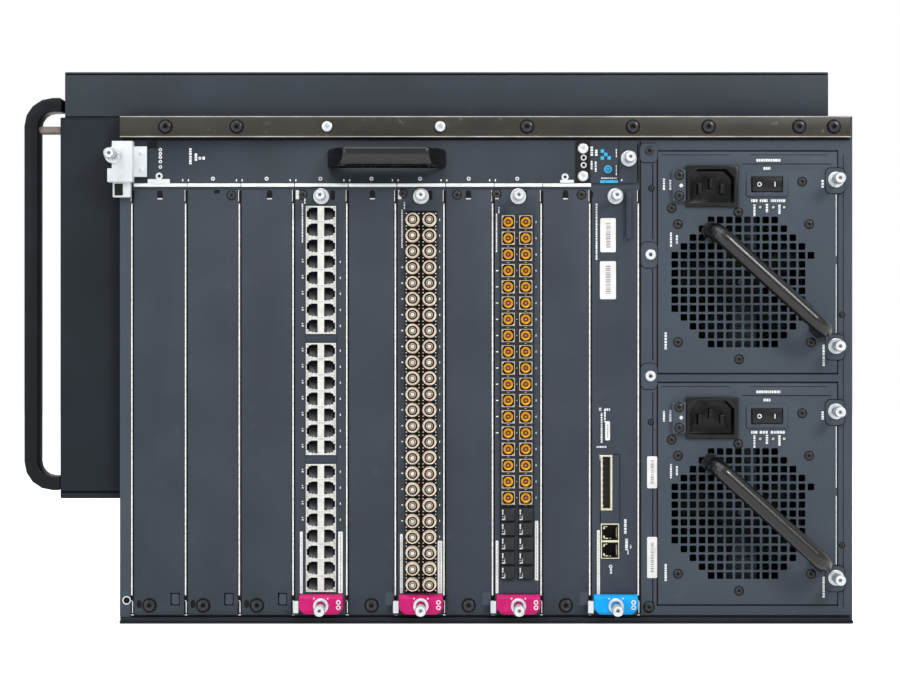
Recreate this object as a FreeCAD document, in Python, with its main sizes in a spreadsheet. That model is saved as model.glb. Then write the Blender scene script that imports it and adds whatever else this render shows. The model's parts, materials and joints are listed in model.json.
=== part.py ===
import FreeCAD, Part
import math
import os
import re

import Sketcher

# Modular rack chassis: a front card cage with ten slots, a fan tray above it
# and two power supplies beside it, with sheet-metal air ducts on top and left.
# Lengths in millimetres. X runs along the front, -Y is the front, Z is up and
# the origin is the middle of the base.
sizes = {
    # chassis box, sheet and front frame
    "width": 641,
    "depth": 420,
    "height": 443.6,
    "sheet": 2,
    "base_sheet": 3,
    "face": 2,
    "frame": 4,
    "fit": 0.3,
    "over": 1,
    "lip_rise": 5.4,
    "lip_proud": 4,
    "lip_corner": 3,
    # slots: four wide ones, then six narrow ones
    "slot_left": 10.85,
    "wide_pitch": 47,
    "slot_pitch": 42.5,
    "slot_low": 7,
    "slot_tall": 372,
    "seam": 0.25,
    "gasket_wide": 2.6,
    "rail": 7,
    "runner_lap": 6,
    "tray_lap": 3,
    "notch_right": 12,
    "notch_low": 8.5,
    "notch_wide": 8,
    "notch_tall": 11,
    "pin_hole": 2.25,
    "pin_hole_in": 4.5,
    "pin_hole_up": 10,
    "board_thick": 1.6,
    "board_deep": 340,
    "backplane_thick": 4,
    # fan tray and the bar above it
    "tray_low": 385,
    "tray_tall": 37.4,
    "tray_deep": 360,
    "tray_hole": 55,
    "tray_hub": 18,
    "hub_tall": 20,
    "hub_bar": 8,
    "fan_spacing": 145,
    "seal_tall": 3,
    "seal_proud": 1,
    "bar_low": 424.7,
    "bar_proud": 4,
    "bar_screw": 5.5,
    "panel_screw": 4.9,
    "screw_rise": 3,
    "blank_screw_in": 15,
    "blank_screw_up": 1.7,
    "frame_screw_low": 216.2,
    "frame_screw_high": 322.5,
    # screws along the bar, from the left
    "dark_a": 40.2,
    "dark_b": 102.4,
    "dark_c": 356,
    "dark_d": 448.4,
    "dark_e": 514.5,
    "dark_f": 593.6,
    "dark_g": 623.9,
    "bright_a": 181.4,
    "bright_b": 280.2,
    # air ducts and lifting handle
    "duct_back": 12,
    "duct_deep": 300,
    "side_duct_wide": 54,
    "side_duct_low": 108.5,
    "top_duct_over": 50,
    "top_duct_wide": 671.5,
    "top_duct_tall": 39.9,
    "duct_ear_tall": 22,
    "duct_ear_wide": 3,
    "duct_ear_in": 20,
    "grip_reach": 32,
    "grip_low": 115.5,
    "grip_high": 461,
    "grip_thick": 12.25,
    "grip_deep": 28,
    "grip_bend": 25,
    "stay_low": 430,
    "stay_tall": 6,
    "stay_deep": 18,
    # captive screws and levers
    "knob_radius": 4.9,
    "knob_long": 12,
    "stem_radius": 3.6,
    "stem_long": 16,
    "lever_wide": 38.4,
    "lever_low": 8.2,
    "lever_tall": 17.3,
    "lever_thick": 8.7,
    "lever_shift": 0.8,
    "lever_round": 3.2,
    "lever_corner": 5,
    "lever_chamfer": 2,
    "lever_slant": 3,
    "hinge_wide": 4.8,
    "hinge_tall": 10.5,
    "lever_screw_rise": 6.3,
    "top_screw_drop": 5.5,
    # jack blocks of the copper card
    "copper_shift": 0.5,
    "jack_pitch": 14,
    "jack_block_wide": 26.3,
    "jack_column": 15.3,
    "jack_wide": 9.6,
    "jack_tall": 11.3,
    "jack_deep": 11,
    "jack_proud": 1.5,
    "jack_back": 12,
    "jack_low": 27.5,
    "jack_block_gap": 7.8,
    # coaxial card
    "coax_shift": 0.8,
    "coax_pitch": 13.86,
    "coax_column": 14.7,
    "coax_radius": 6.2,
    "coax_proud": 11,
    "coax_low": 34.2,
    "coax_base_wide": 27.6,
    "coax_margin": 7.4,
    # round-port card
    "port_shift": -0.3,
    "port_pitch": 14.19,
    "port_column": 15.3,
    "port_square": 11.4,
    "port_proud": 4,
    "port_low": 109.8,
    "cap_pitch": 12.7,
    "cap_low": 44.6,
    "cap_wide": 11.6,
    "cap_tall": 11.4,
    "cap_proud": 5,
    "port_base_wide": 28.4,
    # control card
    "rib_left": 31.4,
    "rib_wide": 4.35,
    "rib_low": 336,
    "rib_tall": 42,
    "rib_proud": 5,
    "service_left": 9.3,
    "service_wide": 16,
    "service_low": 56.5,
    "service_pitch": 15.4,
    "service_wall": 2,
    "drive_low": 98.9,
    "drive_wide": 10,
    "drive_tall": 48.3,
    "drive_rim": 1.5,
    # power supplies
    "bay_wall": 458,
    "psu_left": 470.8,
    "psu_wide": 156.6,
    "psu_low": 16.5,
    "psu_tall": 193.5,
    "psu_pitch": 202.6,
    "psu_inset": 3,
    "psu_deep": 330,
    "psu_sheet": 1.5,
    "ear_reach": 9.5,
    "ear_half": 8,
    "ear_corner": 4,
    "ear_high": 169,
    "ear_low": 23.5,
    "psu_knob_in": 1.2,
    "inlet_left": 24.1,
    "inlet_low": 145.3,
    "inlet_wide": 45.7,
    "inlet_tall": 36.2,
    "inlet_proud": 3,
    "inlet_rim": 3.4,
    "inlet_flange": 2,
    "inlet_cut": 7,
    "inlet_deep": 21,
    "inlet_floor": 3,
    "blade_wide": 2,
    "blade_tall": 8,
    "blade_back": 5.5,
    "blade_step": 10,
    "blade_lift": 5,
    "blade_drop": 2,
    "clip_wide": 11.6,
    "clip_tall": 27,
    "clip_proud": 5,
    "bezel_left": 77.3,
    "bezel_low": 154.5,
    "bezel_wide": 35.5,
    "bezel_tall": 20.5,
    "bezel_proud": 2,
    "rocker_wide": 25.9,
    "rocker_tall": 12.8,
    "rocker_gap": 0.8,
    "rocker_deep": 9,
    "rocker_horn": 3,
    "rocker_dip": 1.6,
    "grille_x": 74.2,
    "grille_z": 79.5,
    "hole": 6,
    "hole_step_x": 7.94,
    "hole_step_z": 7.75,
    "fan_radius": 58,
    "fan_hub": 21,
    "fan_deep": 14,
    "fan_gap": 9,
    "fan_pin": 3,
    "fan_play": 0.05,
    "vane_root": 8,
    "vane_sink": 3,
    "vane_lead": 2,
    "vane_trail": 20,
    "vane_short": 6,
    "vane_thick": 3,
    "shaft_over": 2,
    "mount_wide": 30,
    "mount_thick": 3,
    "bow_x": 47.2,
    "bow_z": 123,
    "bow_span": 127.5,
    "bow_angle": 42.2,
    "bow_thick": 15,
    "bow_rise": 42,
    "bow_slope": 13,
    "bow_foot": 18,
    "bow_foot_thick": 3,
    "bow_fillet": 6,
    # fan-tray handle and latch block
    "pull_left": 181,
    "pull_wide": 105,
    "pull_low": 398.2,
    "pull_tall": 16.5,
    "pull_rise": 36,
    "pull_slope": 15.5,
    "pull_thick": 9,
    "pull_cut": 7.5,
    "latch_left": -5.3,
    "latch_wide": 18,
    "latch_low": 385.3,
    "latch_tall": 35.6,
    "latch_proud": 14,
    "latch_step": 4,
    "latch_pad_wide": 11.2,
    "latch_pad_tall": 26.7,
    "latch_pad_rise": 5,
    "latch_pad_thick": 3,
    "latch_foot_wide": 15.6,
    "latch_foot_drop": 13,
    "latch_foot_thick": 8,
    "latch_window": 7.4,
    "latch_frame": 1.5,
    "latch_screw_in": 1,
    "latch_screw_rise": 23.3,
    "tray_screw_x": 445,
    "tray_screw_z": 406.5,
}

doc = FreeCAD.newDocument("ModularChassis")
sheet = doc.addObject("Spreadsheet::Sheet", "Sizes")
for row, (alias, value) in enumerate(sizes.items(), 1):
    sheet.set(f"A{row}", alias)
    sheet.set(f"B{row}", str(value))
    sheet.setAlias(f"B{row}", alias)
doc.recompute()

pieces = []


def bound(text):
    # aliases in a formula get the sheet's name in front
    return re.sub(r"[a-z_]+", lambda m: f"Sizes.{m[0]}" if m[0] in sizes else m[0], str(text))


def bind(thing, prop, text):
    thing.setExpression(prop, bound(text))


def worth(text):
    return float(sheet.evalExpression(bound(text)))


def place(thing, x, y, z):
    # x, y, z count from the lower left corner of the chassis front
    bind(thing, "Placement.Base.x", f"-width / 2 + ({x})")
    bind(thing, "Placement.Base.y", f"-depth / 2 + ({y})")
    bind(thing, "Placement.Base.z", z)


def block(name, x, y, z, wide, deep, tall):
    box = doc.addObject("Part::Box", name)
    bind(box, "Length", wide)
    bind(box, "Width", deep)
    bind(box, "Height", tall)
    place(box, x, y, z)
    return box


def cut(name, base, tools):
    result = base
    for number, tool in enumerate(tools, 1):
        step = doc.addObject("Part::Cut", f"{name}{number}")
        step.Base = result
        step.Tool = tool
        result = step
    return result


def fuse(name, parts):
    result = doc.addObject("Part::MultiFuse", name)
    result.Shapes = parts
    result.Refine = True
    return result


def keep(label, thing):
    thing.Label = label
    pieces.append(thing)
    return thing


def rect(x, z, wide, tall):
    right = f"({x}) + ({wide})"
    top = f"({z}) + ({tall})"
    return [(x, z), (right, z), (right, top), (x, top)]


def ngon(x, z, radius, sides):
    turns = [2 * math.pi * (k + 0.5) / sides for k in range(sides)]
    return [(f"({x}) + {math.cos(a):.6f} * ({radius})",
             f"({z}) + {math.sin(a):.6f} * ({radius})") for a in turns]


def draw(body, name, role, rings, offset="0"):
    sketch = body.newObject("Sketcher::SketchObject", name)
    plane = [f for f in body.Origin.OriginFeatures if f.Role == role][0]
    sketch.AttachmentSupport = [(plane, "")]
    sketch.MapMode = "FlatFace"
    bind(sketch, "AttachmentOffset.Base.z", offset)
    first = 0
    for ring in rings:
        spots = [FreeCAD.Vector(worth(u), worth(v), 0) for u, v in ring]
        count = len(ring)
        for k in range(count):
            sketch.addGeometry(Part.LineSegment(spots[k], spots[(k + 1) % count]), False)
        for k in range(count):
            after = first + (k + 1) % count
            sketch.addConstraint(Sketcher.Constraint("Coincident", first + k, 2, after, 1))
        for k, (u, v) in enumerate(ring):
            for kind, text in (("DistanceX", u), ("DistanceY", v)):
                number = sketch.addConstraint(Sketcher.Constraint(kind, -1, 1, first + k, 1, worth(text)))
                sketch.setExpression(f"Constraints[{number}]", bound(text))
        first += count
    return sketch


def disc(body, name, role, x, z, radius, offset="0"):
    sketch = body.newObject("Sketcher::SketchObject", name)
    plane = [f for f in body.Origin.OriginFeatures if f.Role == role][0]
    sketch.AttachmentSupport = [(plane, "")]
    sketch.MapMode = "FlatFace"
    bind(sketch, "AttachmentOffset.Base.z", offset)
    middle = FreeCAD.Vector(worth(x), worth(z), 0)
    sketch.addGeometry(Part.Circle(middle, FreeCAD.Vector(0, 0, 1), worth(radius)), False)
    for kind, text in (("DistanceX", x), ("DistanceY", z)):
        number = sketch.addConstraint(Sketcher.Constraint(kind, -1, 1, 0, 3, worth(text)))
        sketch.setExpression(f"Constraints[{number}]", bound(text))
    number = sketch.addConstraint(Sketcher.Constraint("Radius", 0, worth(radius)))
    sketch.setExpression(f"Constraints[{number}]", bound(radius))
    return sketch


def new_body(name, x, y, z):
    body = doc.addObject("PartDesign::Body", name)
    place(body, x, y, z)
    return body


def pad(body, sketch, length, backward=False):
    feature = body.newObject("PartDesign::Pad", sketch.Name + "Pad")
    feature.Profile = sketch
    feature.Reversed = backward
    bind(feature, "Length", length)
    return feature


def pocket(body, sketch, length=None, backward=False):
    # without a length the pocket runs right through, both ways
    feature = body.newObject("PartDesign::Pocket", sketch.Name + "Pocket")
    feature.Profile = sketch
    if length is None:
        feature.Type = "ThroughAll"
        feature.Midplane = True
    else:
        feature.Reversed = backward
        bind(feature, "Length", length)
    return feature


def rows(body, feature, axis, step, count):
    # repeats a feature along an axis of its own sketch
    repeat = body.newObject("PartDesign::LinearPattern", feature.Name + "Rows")
    repeat.Originals = [feature]
    repeat.Direction = (feature.Profile[0], [axis])
    bind(repeat, "Length", f"({step}) * {count - 1}")
    repeat.Occurrences = count
    body.Tip = repeat
    return repeat


def plate(name, role, rings, thick, x, y, z):
    body = new_body(name, x, y, z)
    pad(body, draw(body, name + "Outline", role, rings), thick)
    return body


def slot_edge(number):
    # left boundary of a slot, slots counted from 0
    wide = min(number, 4)
    return f"(slot_left + {wide} * wide_pitch + {number - wide} * slot_pitch)"


def slot_middle(number):
    return f"({slot_edge(number)} + {slot_edge(number + 1)}) / 2"


def make_chassis():
    inner_front = "face + frame"
    inner_deep = "depth - face - frame - sheet"
    inner_tall = "height - base_sheet - sheet"
    slots_wide = f"({slot_edge(10)} - slot_left)"
    case_wide = "psu_wide - 2 * psu_inset + 2 * fit"
    case_tall = "psu_tall - 2 * psu_inset + 2 * fit"
    box = block("ChassisBox", "0", "face", "0", "width", "depth - face", "height")
    hollows = [
        block("CageHollow", "sheet", inner_front, "base_sheet", "bay_wall - sheet", inner_deep, inner_tall),
        block("BayHollow", "bay_wall + sheet", inner_front, "base_sheet", "width - bay_wall - 2 * sheet",
              inner_deep, inner_tall),
        block("SlotWindow", "slot_left", "0", "slot_low + rail", slots_wide, "face + frame + over",
              "slot_tall - 2 * rail"),
        block("TrayWindow", "slot_left", "0", "tray_low + fit", slots_wide, "face + frame + over",
              "tray_tall - tray_lap"),
    ]
    for number in range(2):
        low = f"psu_low + {number} * psu_pitch + psu_inset - fit"
        hollows.append(block(f"PsuWindow{number}", "psu_left + psu_inset - fit", "0", low, case_wide,
                             "face + frame + 1", case_tall))
    body = cut("ChassisCut", box, hollows)
    shelf_top = "psu_low + psu_pitch + psu_inset - fit"
    shelf = block("BayShelf", "bay_wall + sheet", inner_front, f"{shelf_top} - sheet",
                  "width - bay_wall - 2 * sheet", inner_deep, "sheet")
    flange = block("SideFlange", "0", "0", "lip_rise", "slot_left - gasket_wide / 2 - seam", "face",
                   "tray_low - lip_rise")
    lip_ring = [("0", "0"), ("width", "0"), ("width", "lip_rise - lip_corner"),
                ("width - lip_corner", "lip_rise"), ("lip_corner", "lip_rise"),
                ("0", "lip_rise - lip_corner")]
    lip = plate("BottomStrip", "XZ_Plane", [lip_ring], "face + lip_proud", "0", "face", "0")
    runner_deep = "tray_deep - frame"
    runners = [
        block("LeftRunner", "sheet", inner_front, "tray_low - sheet", "slot_left - sheet + runner_lap",
              runner_deep, "sheet"),
        block("RightRunner", f"{slot_edge(10)} - runner_lap", inner_front, "tray_low - sheet",
              f"bay_wall - {slot_edge(10)} + runner_lap", runner_deep, "sheet"),
    ]
    keep("chassis", fuse("Chassis", [body, shelf, flange] + runners))
    keep("bottom_strip", lip)


def make_front_bar():
    bar = block("MountingBar", "0", "-bar_proud", "bar_low", "width - sheet", "bar_proud + face",
                "height - bar_low")
    keep("mounting_bar", bar)


def heads(name, spots, y, radius):
    # low round heads standing on one face
    rings = [ngon(x, z, radius, 6) for x, z in spots]
    return plate(name, "XZ_Plane", rings, "screw_rise", "0", y, "0")


def make_fixed_screws():
    middle = "(bar_low + height) / 2"
    on_bar = heads("BarScrews", [(f"dark_{k}", middle) for k in "abcdefg"], "-bar_proud", "bar_screw")
    low = "slot_low + rail + blank_screw_up"
    blanks = [(f"{slot_edge(n)} + blank_screw_in", low) for n in (0, 1, 2)]
    blanks += [(f"{slot_middle(n)}", low) for n in (4, 6, 8)]
    on_panels = heads("PanelScrews", blanks, "0", "bar_screw")
    keep("black_screws", fuse("BlackScrews", [on_bar, on_panels]))
    bright_bar = heads("BrightBarScrews", [(f"bright_{k}", middle) for k in "ab"], "-bar_proud",
                       "panel_screw")
    strip = "(bay_wall + psu_left) / 2"
    frame_spots = [(strip, "frame_screw_high"), (strip, "frame_screw_low")]
    on_frame = heads("FrameScrews", frame_spots, "face", "bar_screw")
    keep("silver_screws", fuse("SilverScrews", [bright_bar, on_frame]))


def make_ducts():
    top = block("TopDuctBox", "-top_duct_over", "duct_back", "height", "top_duct_wide", "duct_deep",
                "top_duct_tall")
    hollow = block("TopDuctHollow", "-top_duct_over + sheet", "duct_back + sheet", "height - over",
                   "top_duct_wide - 2 * sheet", "duct_deep - 2 * sheet", "top_duct_tall - sheet + over")
    left_ear = block("LeftEar", "-top_duct_over - duct_ear_wide", "duct_back + duct_ear_in", "height",
                     "duct_ear_wide",
                     "duct_deep - duct_ear_in", "duct_ear_tall")
    right_ear = block("RightEar", "top_duct_wide - top_duct_over", "duct_back + duct_ear_in", "height",
                      "duct_ear_wide",
                      "duct_deep - duct_ear_in", "duct_ear_tall")
    shell = cut("TopDuctCut", top, [hollow])
    keep("top_duct", fuse("TopDuct", [shell, left_ear, right_ear]))
    side = block("SideDuctBox", "-side_duct_wide", "duct_back", "side_duct_low", "side_duct_wide",
                 "duct_deep",
                 "height - side_duct_low")
    inside = block("SideDuctHollow", "-side_duct_wide + sheet", "duct_back + sheet",
                   "side_duct_low + sheet",
                   "side_duct_wide", "duct_deep - 2 * sheet", "height - side_duct_low - 2 * sheet")
    keep("side_duct", cut("SideDuct", side, [inside]))


def make_side_handle():
    # flat bar bent in facets: the outer line, then the inner line back
    bends = [k * math.pi / 8 for k in range(5)]

    def corner(radius, low):
        points = []
        for a in bends:
            x = f"-side_duct_wide - grip_reach + grip_bend - {math.cos(a):.6f} * ({radius})"
            rise = f"grip_bend - {math.sin(a):.6f} * ({radius})"
            points.append((x, f"grip_low + {rise}" if low else f"grip_high - ({rise})"))
        return points

    inner = "grip_bend - grip_thick"
    top_end = "-top_duct_over - duct_ear_wide"
    ring = [(top_end, "grip_high")] + corner("grip_bend", False)[::-1] + corner("grip_bend", True)
    ring += [("-side_duct_wide", "grip_low"), ("-side_duct_wide", "grip_low + grip_thick")]
    ring += corner(inner, True)[::-1] + corner(inner, False) + [(top_end, "grip_high - grip_thick")]
    keep("side_handle", plate("SideHandle", "XZ_Plane", [ring], "grip_deep",
                              "0", "duct_back + grip_deep", "0"))
    stay = block("HandleStay", "-side_duct_wide - grip_reach + grip_thick",
                 "duct_back + (grip_deep - stay_deep) / 2",
                 "stay_low", "grip_reach - grip_thick", "stay_deep", "stay_tall")
    keep("handle_stay", stay)


def panel_outline(number):
    # a slot panel between two gaskets, in its own frame
    wide = f"{slot_edge(number + 1)} - {slot_edge(number)} - gasket_wide - 2 * seam"
    return wide


def make_blank(number):
    wide = panel_outline(number)
    ring = [("0", "0"), (wide, "0"), (wide, "slot_tall"), ("0", "slot_tall")]
    holes = []
    if number < 3:
        holes.append(rect(f"{wide} - notch_right", "notch_low", "notch_wide", "notch_tall"))
        holes.append(ngon("pin_hole_in", "pin_hole_up", "pin_hole", 6))
    name = f"Blank{number + 1}"
    body = plate(name, "XZ_Plane", [ring] + holes, "face", f"{slot_edge(number)} + gasket_wide / 2 + seam",
                 "face", "slot_low")
    keep(f"blank_{number + 1}", body)


def make_gaskets():
    strips = [rect(f"{slot_edge(n)} - gasket_wide / 2", "slot_low", "gasket_wide",
                   "slot_tall") for n in range(11)]
    seal = rect(f"{slot_edge(0)} + gasket_wide / 2", "tray_low - seal_tall - seam",
                f"{slot_edge(9)} - {slot_edge(0)} - gasket_wide", "seal_tall")
    gaskets = plate("SlotGaskets", "XZ_Plane", strips, "face", "0", "face", "0")
    strip = plate("TraySeal", "XZ_Plane", [seal], "face + seal_proud", "0", "face", "0")
    keep("slot_gaskets", fuse("Gaskets", [gaskets, strip]))


def make_backplane():
    # stands behind the boards, held by the floor and both cage walls
    board = block("Backplane", "sheet", "face + board_deep + fit", "base_sheet", "bay_wall - sheet",
                  "backplane_thick", "slot_low + slot_tall - base_sheet")
    keep("backplane", board)


def make_knob(label, name, x, y, z):
    # captive screw: stem and a wider head, both faceted
    body = new_body(name, x, y, z)
    pad(body, draw(body, name + "Stem", "XZ_Plane", [ngon("0", "0", "stem_radius", 6)]), "stem_long")
    head = draw(body, name + "Head", "XZ_Plane", [ngon("0", "0", "knob_radius", 8)], "stem_long")
    pad(body, head, "knob_long")
    keep(label, body)


def make_lever(label, name, left):
    # side profile with a rounded foot round the hinge line, then the outline corners
    low = "lever_round"
    tall = "lever_tall"
    bend = 1 - math.cos(math.pi / 4)
    ring = [
        ("0", low), (f"-lever_round * {bend}", f"lever_round * {bend}"), ("-lever_round", "0"),
        ("-lever_thick + lever_chamfer", "0"), ("-lever_thick", "lever_chamfer"),
        ("-lever_thick", f"{tall} - lever_slant"), ("-lever_thick + lever_slant", tall), ("0", tall),
    ]
    body = plate(name, "YZ_Plane", [ring], "lever_wide", left, "-fit", "lever_low")
    corners = [
        [("0", "0"), ("lever_corner", "0"), ("0", "lever_corner")],
        [("lever_wide", "0"), ("lever_wide", "lever_corner"), ("lever_wide - lever_corner", "0")],
    ]
    pocket(body, draw(body, name + "Corners", "XZ_Plane", corners))
    keep(label, body)


def make_card(word, number, window_low, window_tall, window_wide, shift, extras=()):
    # panel, board, lever and captive screws shared by all four cards
    name = word.title().replace("_", "")
    wide = panel_outline(number)
    edge = f"({slot_edge(number)} + gasket_wide / 2 + seam)"
    middle = f"{slot_middle(number)} - {edge} + ({shift})"
    window = rect(f"{middle} - ({window_wide}) / 2 - fit", f"{window_low} - slot_low - fit",
                  f"{window_wide} + 2 * fit", f"{window_tall} + 2 * fit")
    panel = plate(name + "Panel", "XZ_Plane", [rect("0", "0", wide, "slot_tall"), window], "face", edge,
                  "face",
                  "slot_low")
    for count, (ring, proud) in enumerate(extras):
        pad(panel, draw(panel, f"{name}Extra{count}", "XZ_Plane", [ring], "face"), proud)
    lever_left = f"{slot_middle(number)} + lever_shift - lever_wide / 2"
    hinge = rect(f"{lever_left} - {edge} - fit - hinge_wide", "lever_low - slot_low", "hinge_wide",
                 "hinge_tall")
    pad(panel, draw(panel, name + "Hinge", "XZ_Plane", [hinge], "face"), "lever_thick")
    keep(f"{word}_panel", panel)
    board = block(name + "Board",
                  f"{slot_middle(number)} + ({shift}) - ({window_wide}) / 2 - board_thick - fit",
                  "face", "slot_low + rail + fit", "board_thick", "board_deep",
                  "slot_tall - 2 * rail - 2 * fit")
    keep(f"{word}_board", board)
    make_lever(f"{word}_lever", name + "Lever", lever_left)
    screw_x = f"{slot_middle(number)} + lever_shift"
    make_knob(f"{word}_top_screw", name + "TopScrew", screw_x, "0", "slot_low + slot_tall - top_screw_drop")
    make_knob(f"{word}_low_screw", name + "LowScrew", screw_x, "-lever_thick - fit",
              "lever_low + lever_screw_rise")


def make_copper_card():
    number = 3
    counts = (8, 7, 8)
    tall = f"({sum(counts)} * jack_pitch + 2 * jack_block_gap)"
    make_card("copper_card", number, "jack_low", tall, "jack_block_wide", "copper_shift")
    left = f"{slot_middle(number)} + copper_shift - jack_block_wide / 2"
    blocks = []
    done = 0
    for turn, count in enumerate(counts):
        low = f"jack_low + {done} * jack_pitch + {turn} * jack_block_gap"
        name = f"JackBlock{turn + 1}"
        body = new_body(name, left, "jack_back", low)
        outline = rect("0", "0", "jack_block_wide", f"{count} * jack_pitch")
        pad(body, draw(body, name + "Outline", "XZ_Plane", [outline]), "jack_back + jack_proud")
        pair = []
        for side in (-1, 1):
            x = f"jack_block_wide / 2 + {side} * jack_column / 2 - jack_wide / 2"
            pair.append(rect(x, "(jack_pitch - jack_tall) / 2", "jack_wide", "jack_tall"))
        sketch = draw(body, name + "Sockets", "XZ_Plane", pair, "jack_back + jack_proud")
        rows(body, pocket(body, sketch, "jack_deep"), "V_Axis", "jack_pitch", count)
        blocks.append(body)
        done += count
    group = doc.addObject("Part::Compound", "JackBlocks")
    group.Links = blocks
    keep("copper_card_jacks", group)


def make_coax_card():
    number = 5
    count = 24
    low = "coax_low - coax_margin"
    tall = f"({count - 1} * coax_pitch + 2 * coax_margin)"
    make_card("coax_card", number, f"({low})", tall, "coax_base_wide", "coax_shift")
    body = new_body("CoaxJacks", f"{slot_middle(number)} + coax_shift", "jack_back", low)
    base = rect("-coax_base_wide / 2", "0", "coax_base_wide", tall)
    pad(body, draw(body, "CoaxBase", "XZ_Plane", [base]), "jack_back")
    rings = [ngon(f"{side} * coax_column / 2", "coax_margin", "coax_radius", 8) for side in (-1, 1)]
    barrels = pad(body, draw(body, "CoaxBarrels", "XZ_Plane", rings, "jack_back"), "coax_proud")
    rows(body, barrels, "V_Axis", "coax_pitch", count)
    keep("coax_card_jacks", body)


def make_port_card():
    number = 7
    count = 18
    caps = 5
    low = "cap_low - cap_tall / 2"
    tall = f"(port_low - ({low}) + {count - 1} * port_pitch + port_square / 2)"
    make_card("port_card", number, f"({low})", tall, "port_base_wide", "port_shift")
    body = new_body("PortJacks", f"{slot_middle(number)} + port_shift", "jack_back", "0")
    base = rect("-port_base_wide / 2", low, "port_base_wide", tall)
    pad(body, draw(body, "PortBase", "XZ_Plane", [base]), "jack_back")
    frames = []
    blanks = []
    for side in (-1, 1):
        x = f"{side} * port_column / 2"
        frames.append(rect(f"{x} - port_square / 2", "port_low - port_square / 2", "port_square",
                           "port_square"))
        blanks.append(rect(f"{x} - cap_wide / 2", low, "cap_wide", "cap_tall"))
    squares = pad(body, draw(body, "PortFrames", "XZ_Plane", frames, "jack_back"), "port_proud")
    rows(body, squares, "V_Axis", "port_pitch", count)
    covers = pad(body, draw(body, "PortCaps", "XZ_Plane", blanks, "jack_back"), "cap_proud")
    rows(body, covers, "V_Axis", "cap_pitch", caps)
    keep("port_card_jacks", body)


def make_control_card():
    number = 9
    edge = f"({slot_edge(number)} + gasket_wide / 2 + seam)"
    low = "service_low"
    tall = "(drive_low + drive_tall - service_low)"
    shift = f"(service_left + service_wide / 2 + {slot_edge(number)} - {slot_middle(number)})"
    rib = rect(f"rib_left + {slot_edge(number)} - {edge}", "rib_low - slot_low", "rib_wide", "rib_tall")
    make_card("control_card", number, low, tall, "service_wide", shift, [(rib, "rib_proud")])
    body = new_body("ControlPorts", f"{slot_edge(number)} + service_left", "jack_back", "0")
    base = rect("0", low, "service_wide", tall)
    pad(body, draw(body, "ControlBase", "XZ_Plane", [base]), "jack_back + jack_proud")
    front = "jack_back + jack_proud"
    holes = [rect("service_wall", f"service_low + {n} * service_pitch + service_wall",
                  "service_wide - 2 * service_wall",
                  "service_pitch - 2 * service_wall") for n in (0, 1)]
    holes.append(rect("drive_rim", "drive_low + drive_rim", "drive_wide - 2 * drive_rim",
                      "drive_tall - 2 * drive_rim"))
    pocket(body, draw(body, "ControlHoles", "XZ_Plane", holes, front), "jack_deep")
    keep("control_card_jacks", body)


def make_psu_case(name, label, low):
    body = new_body(name, "psu_left", "face", low)
    ring = [("0", "0"), ("psu_wide", "0")]
    for middle in ("ear_low", "ear_high"):
        ring += [("psu_wide", f"{middle} - ear_half"),
                 ("psu_wide + ear_reach - ear_corner", f"{middle} - ear_half"),
                 ("psu_wide + ear_reach", f"{middle} - ear_half + ear_corner"),
                 ("psu_wide + ear_reach", f"{middle} + ear_half - ear_corner"),
                 ("psu_wide + ear_reach - ear_corner", f"{middle} + ear_half"),
                 ("psu_wide", f"{middle} + ear_half")]
    ring += [("psu_wide", "psu_tall"), ("0", "psu_tall")]
    pad(body, draw(body, name + "Panel", "XZ_Plane", [ring]), "face")
    case = rect("psu_inset", "psu_inset", "psu_wide - 2 * psu_inset", "psu_tall - 2 * psu_inset")
    pad(body, draw(body, name + "Case", "XZ_Plane", [case]), "psu_deep", True)
    skin = "(psu_inset + psu_sheet)"
    hollow = rect(skin, skin, f"psu_wide - 2 * {skin}", f"psu_tall - 2 * {skin}")
    pocket(body, draw(body, name + "Hollow", "XZ_Plane", [hollow]), "psu_deep - psu_sheet")
    add_psu_front(body, name)
    add_fan_mount(body, name)
    add_grille(body, name)
    keep(label, body)


def add_psu_front(body, name):
    # raised bezel of the switch and the cord-clip block, then the two cut-outs
    bezel = rect("bezel_left", "bezel_low", "bezel_wide", "bezel_tall")
    clip = rect("inlet_left - clip_wide - fit", "inlet_low + (inlet_tall - clip_tall) / 2", "clip_wide",
                "clip_tall")
    pad(body, draw(body, name + "Bezel", "XZ_Plane", [bezel], "face"), "bezel_proud")
    pad(body, draw(body, name + "Clip", "XZ_Plane", [clip], "face"), "clip_proud")
    wide = "(rocker_wide + 2 * rocker_gap)"
    tall = "(rocker_tall + 2 * fit)"
    well = rect(f"bezel_left + (bezel_wide - {wide}) / 2", f"bezel_low + (bezel_tall - {tall}) / 2", wide,
                tall)
    mouth = rect("inlet_left + inlet_flange - fit", "inlet_low + inlet_flange - fit",
                 "inlet_wide - 2 * inlet_flange + 2 * fit", "inlet_tall - 2 * inlet_flange + 2 * fit")
    pocket(body, draw(body, name + "Wells", "XZ_Plane", [well, mouth]), "face + bezel_proud + over", True)


def add_fan_mount(body, name):
    # post from floor to roof of the case, with the shaft that the fan turns on
    post = rect("grille_x - mount_wide / 2", "psu_inset", "mount_wide", "psu_tall - 2 * psu_inset")
    back = "-(fan_gap + fan_deep + shaft_over + mount_thick)"
    pad(body, draw(body, name + "Post", "XZ_Plane", [post], back), "mount_thick")
    shaft = disc(body, name + "Shaft", "XZ_Plane", "grille_x", "grille_z", "fan_pin",
                 f"{back} + mount_thick")
    pad(body, shaft, "fan_deep + shaft_over")


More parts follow.
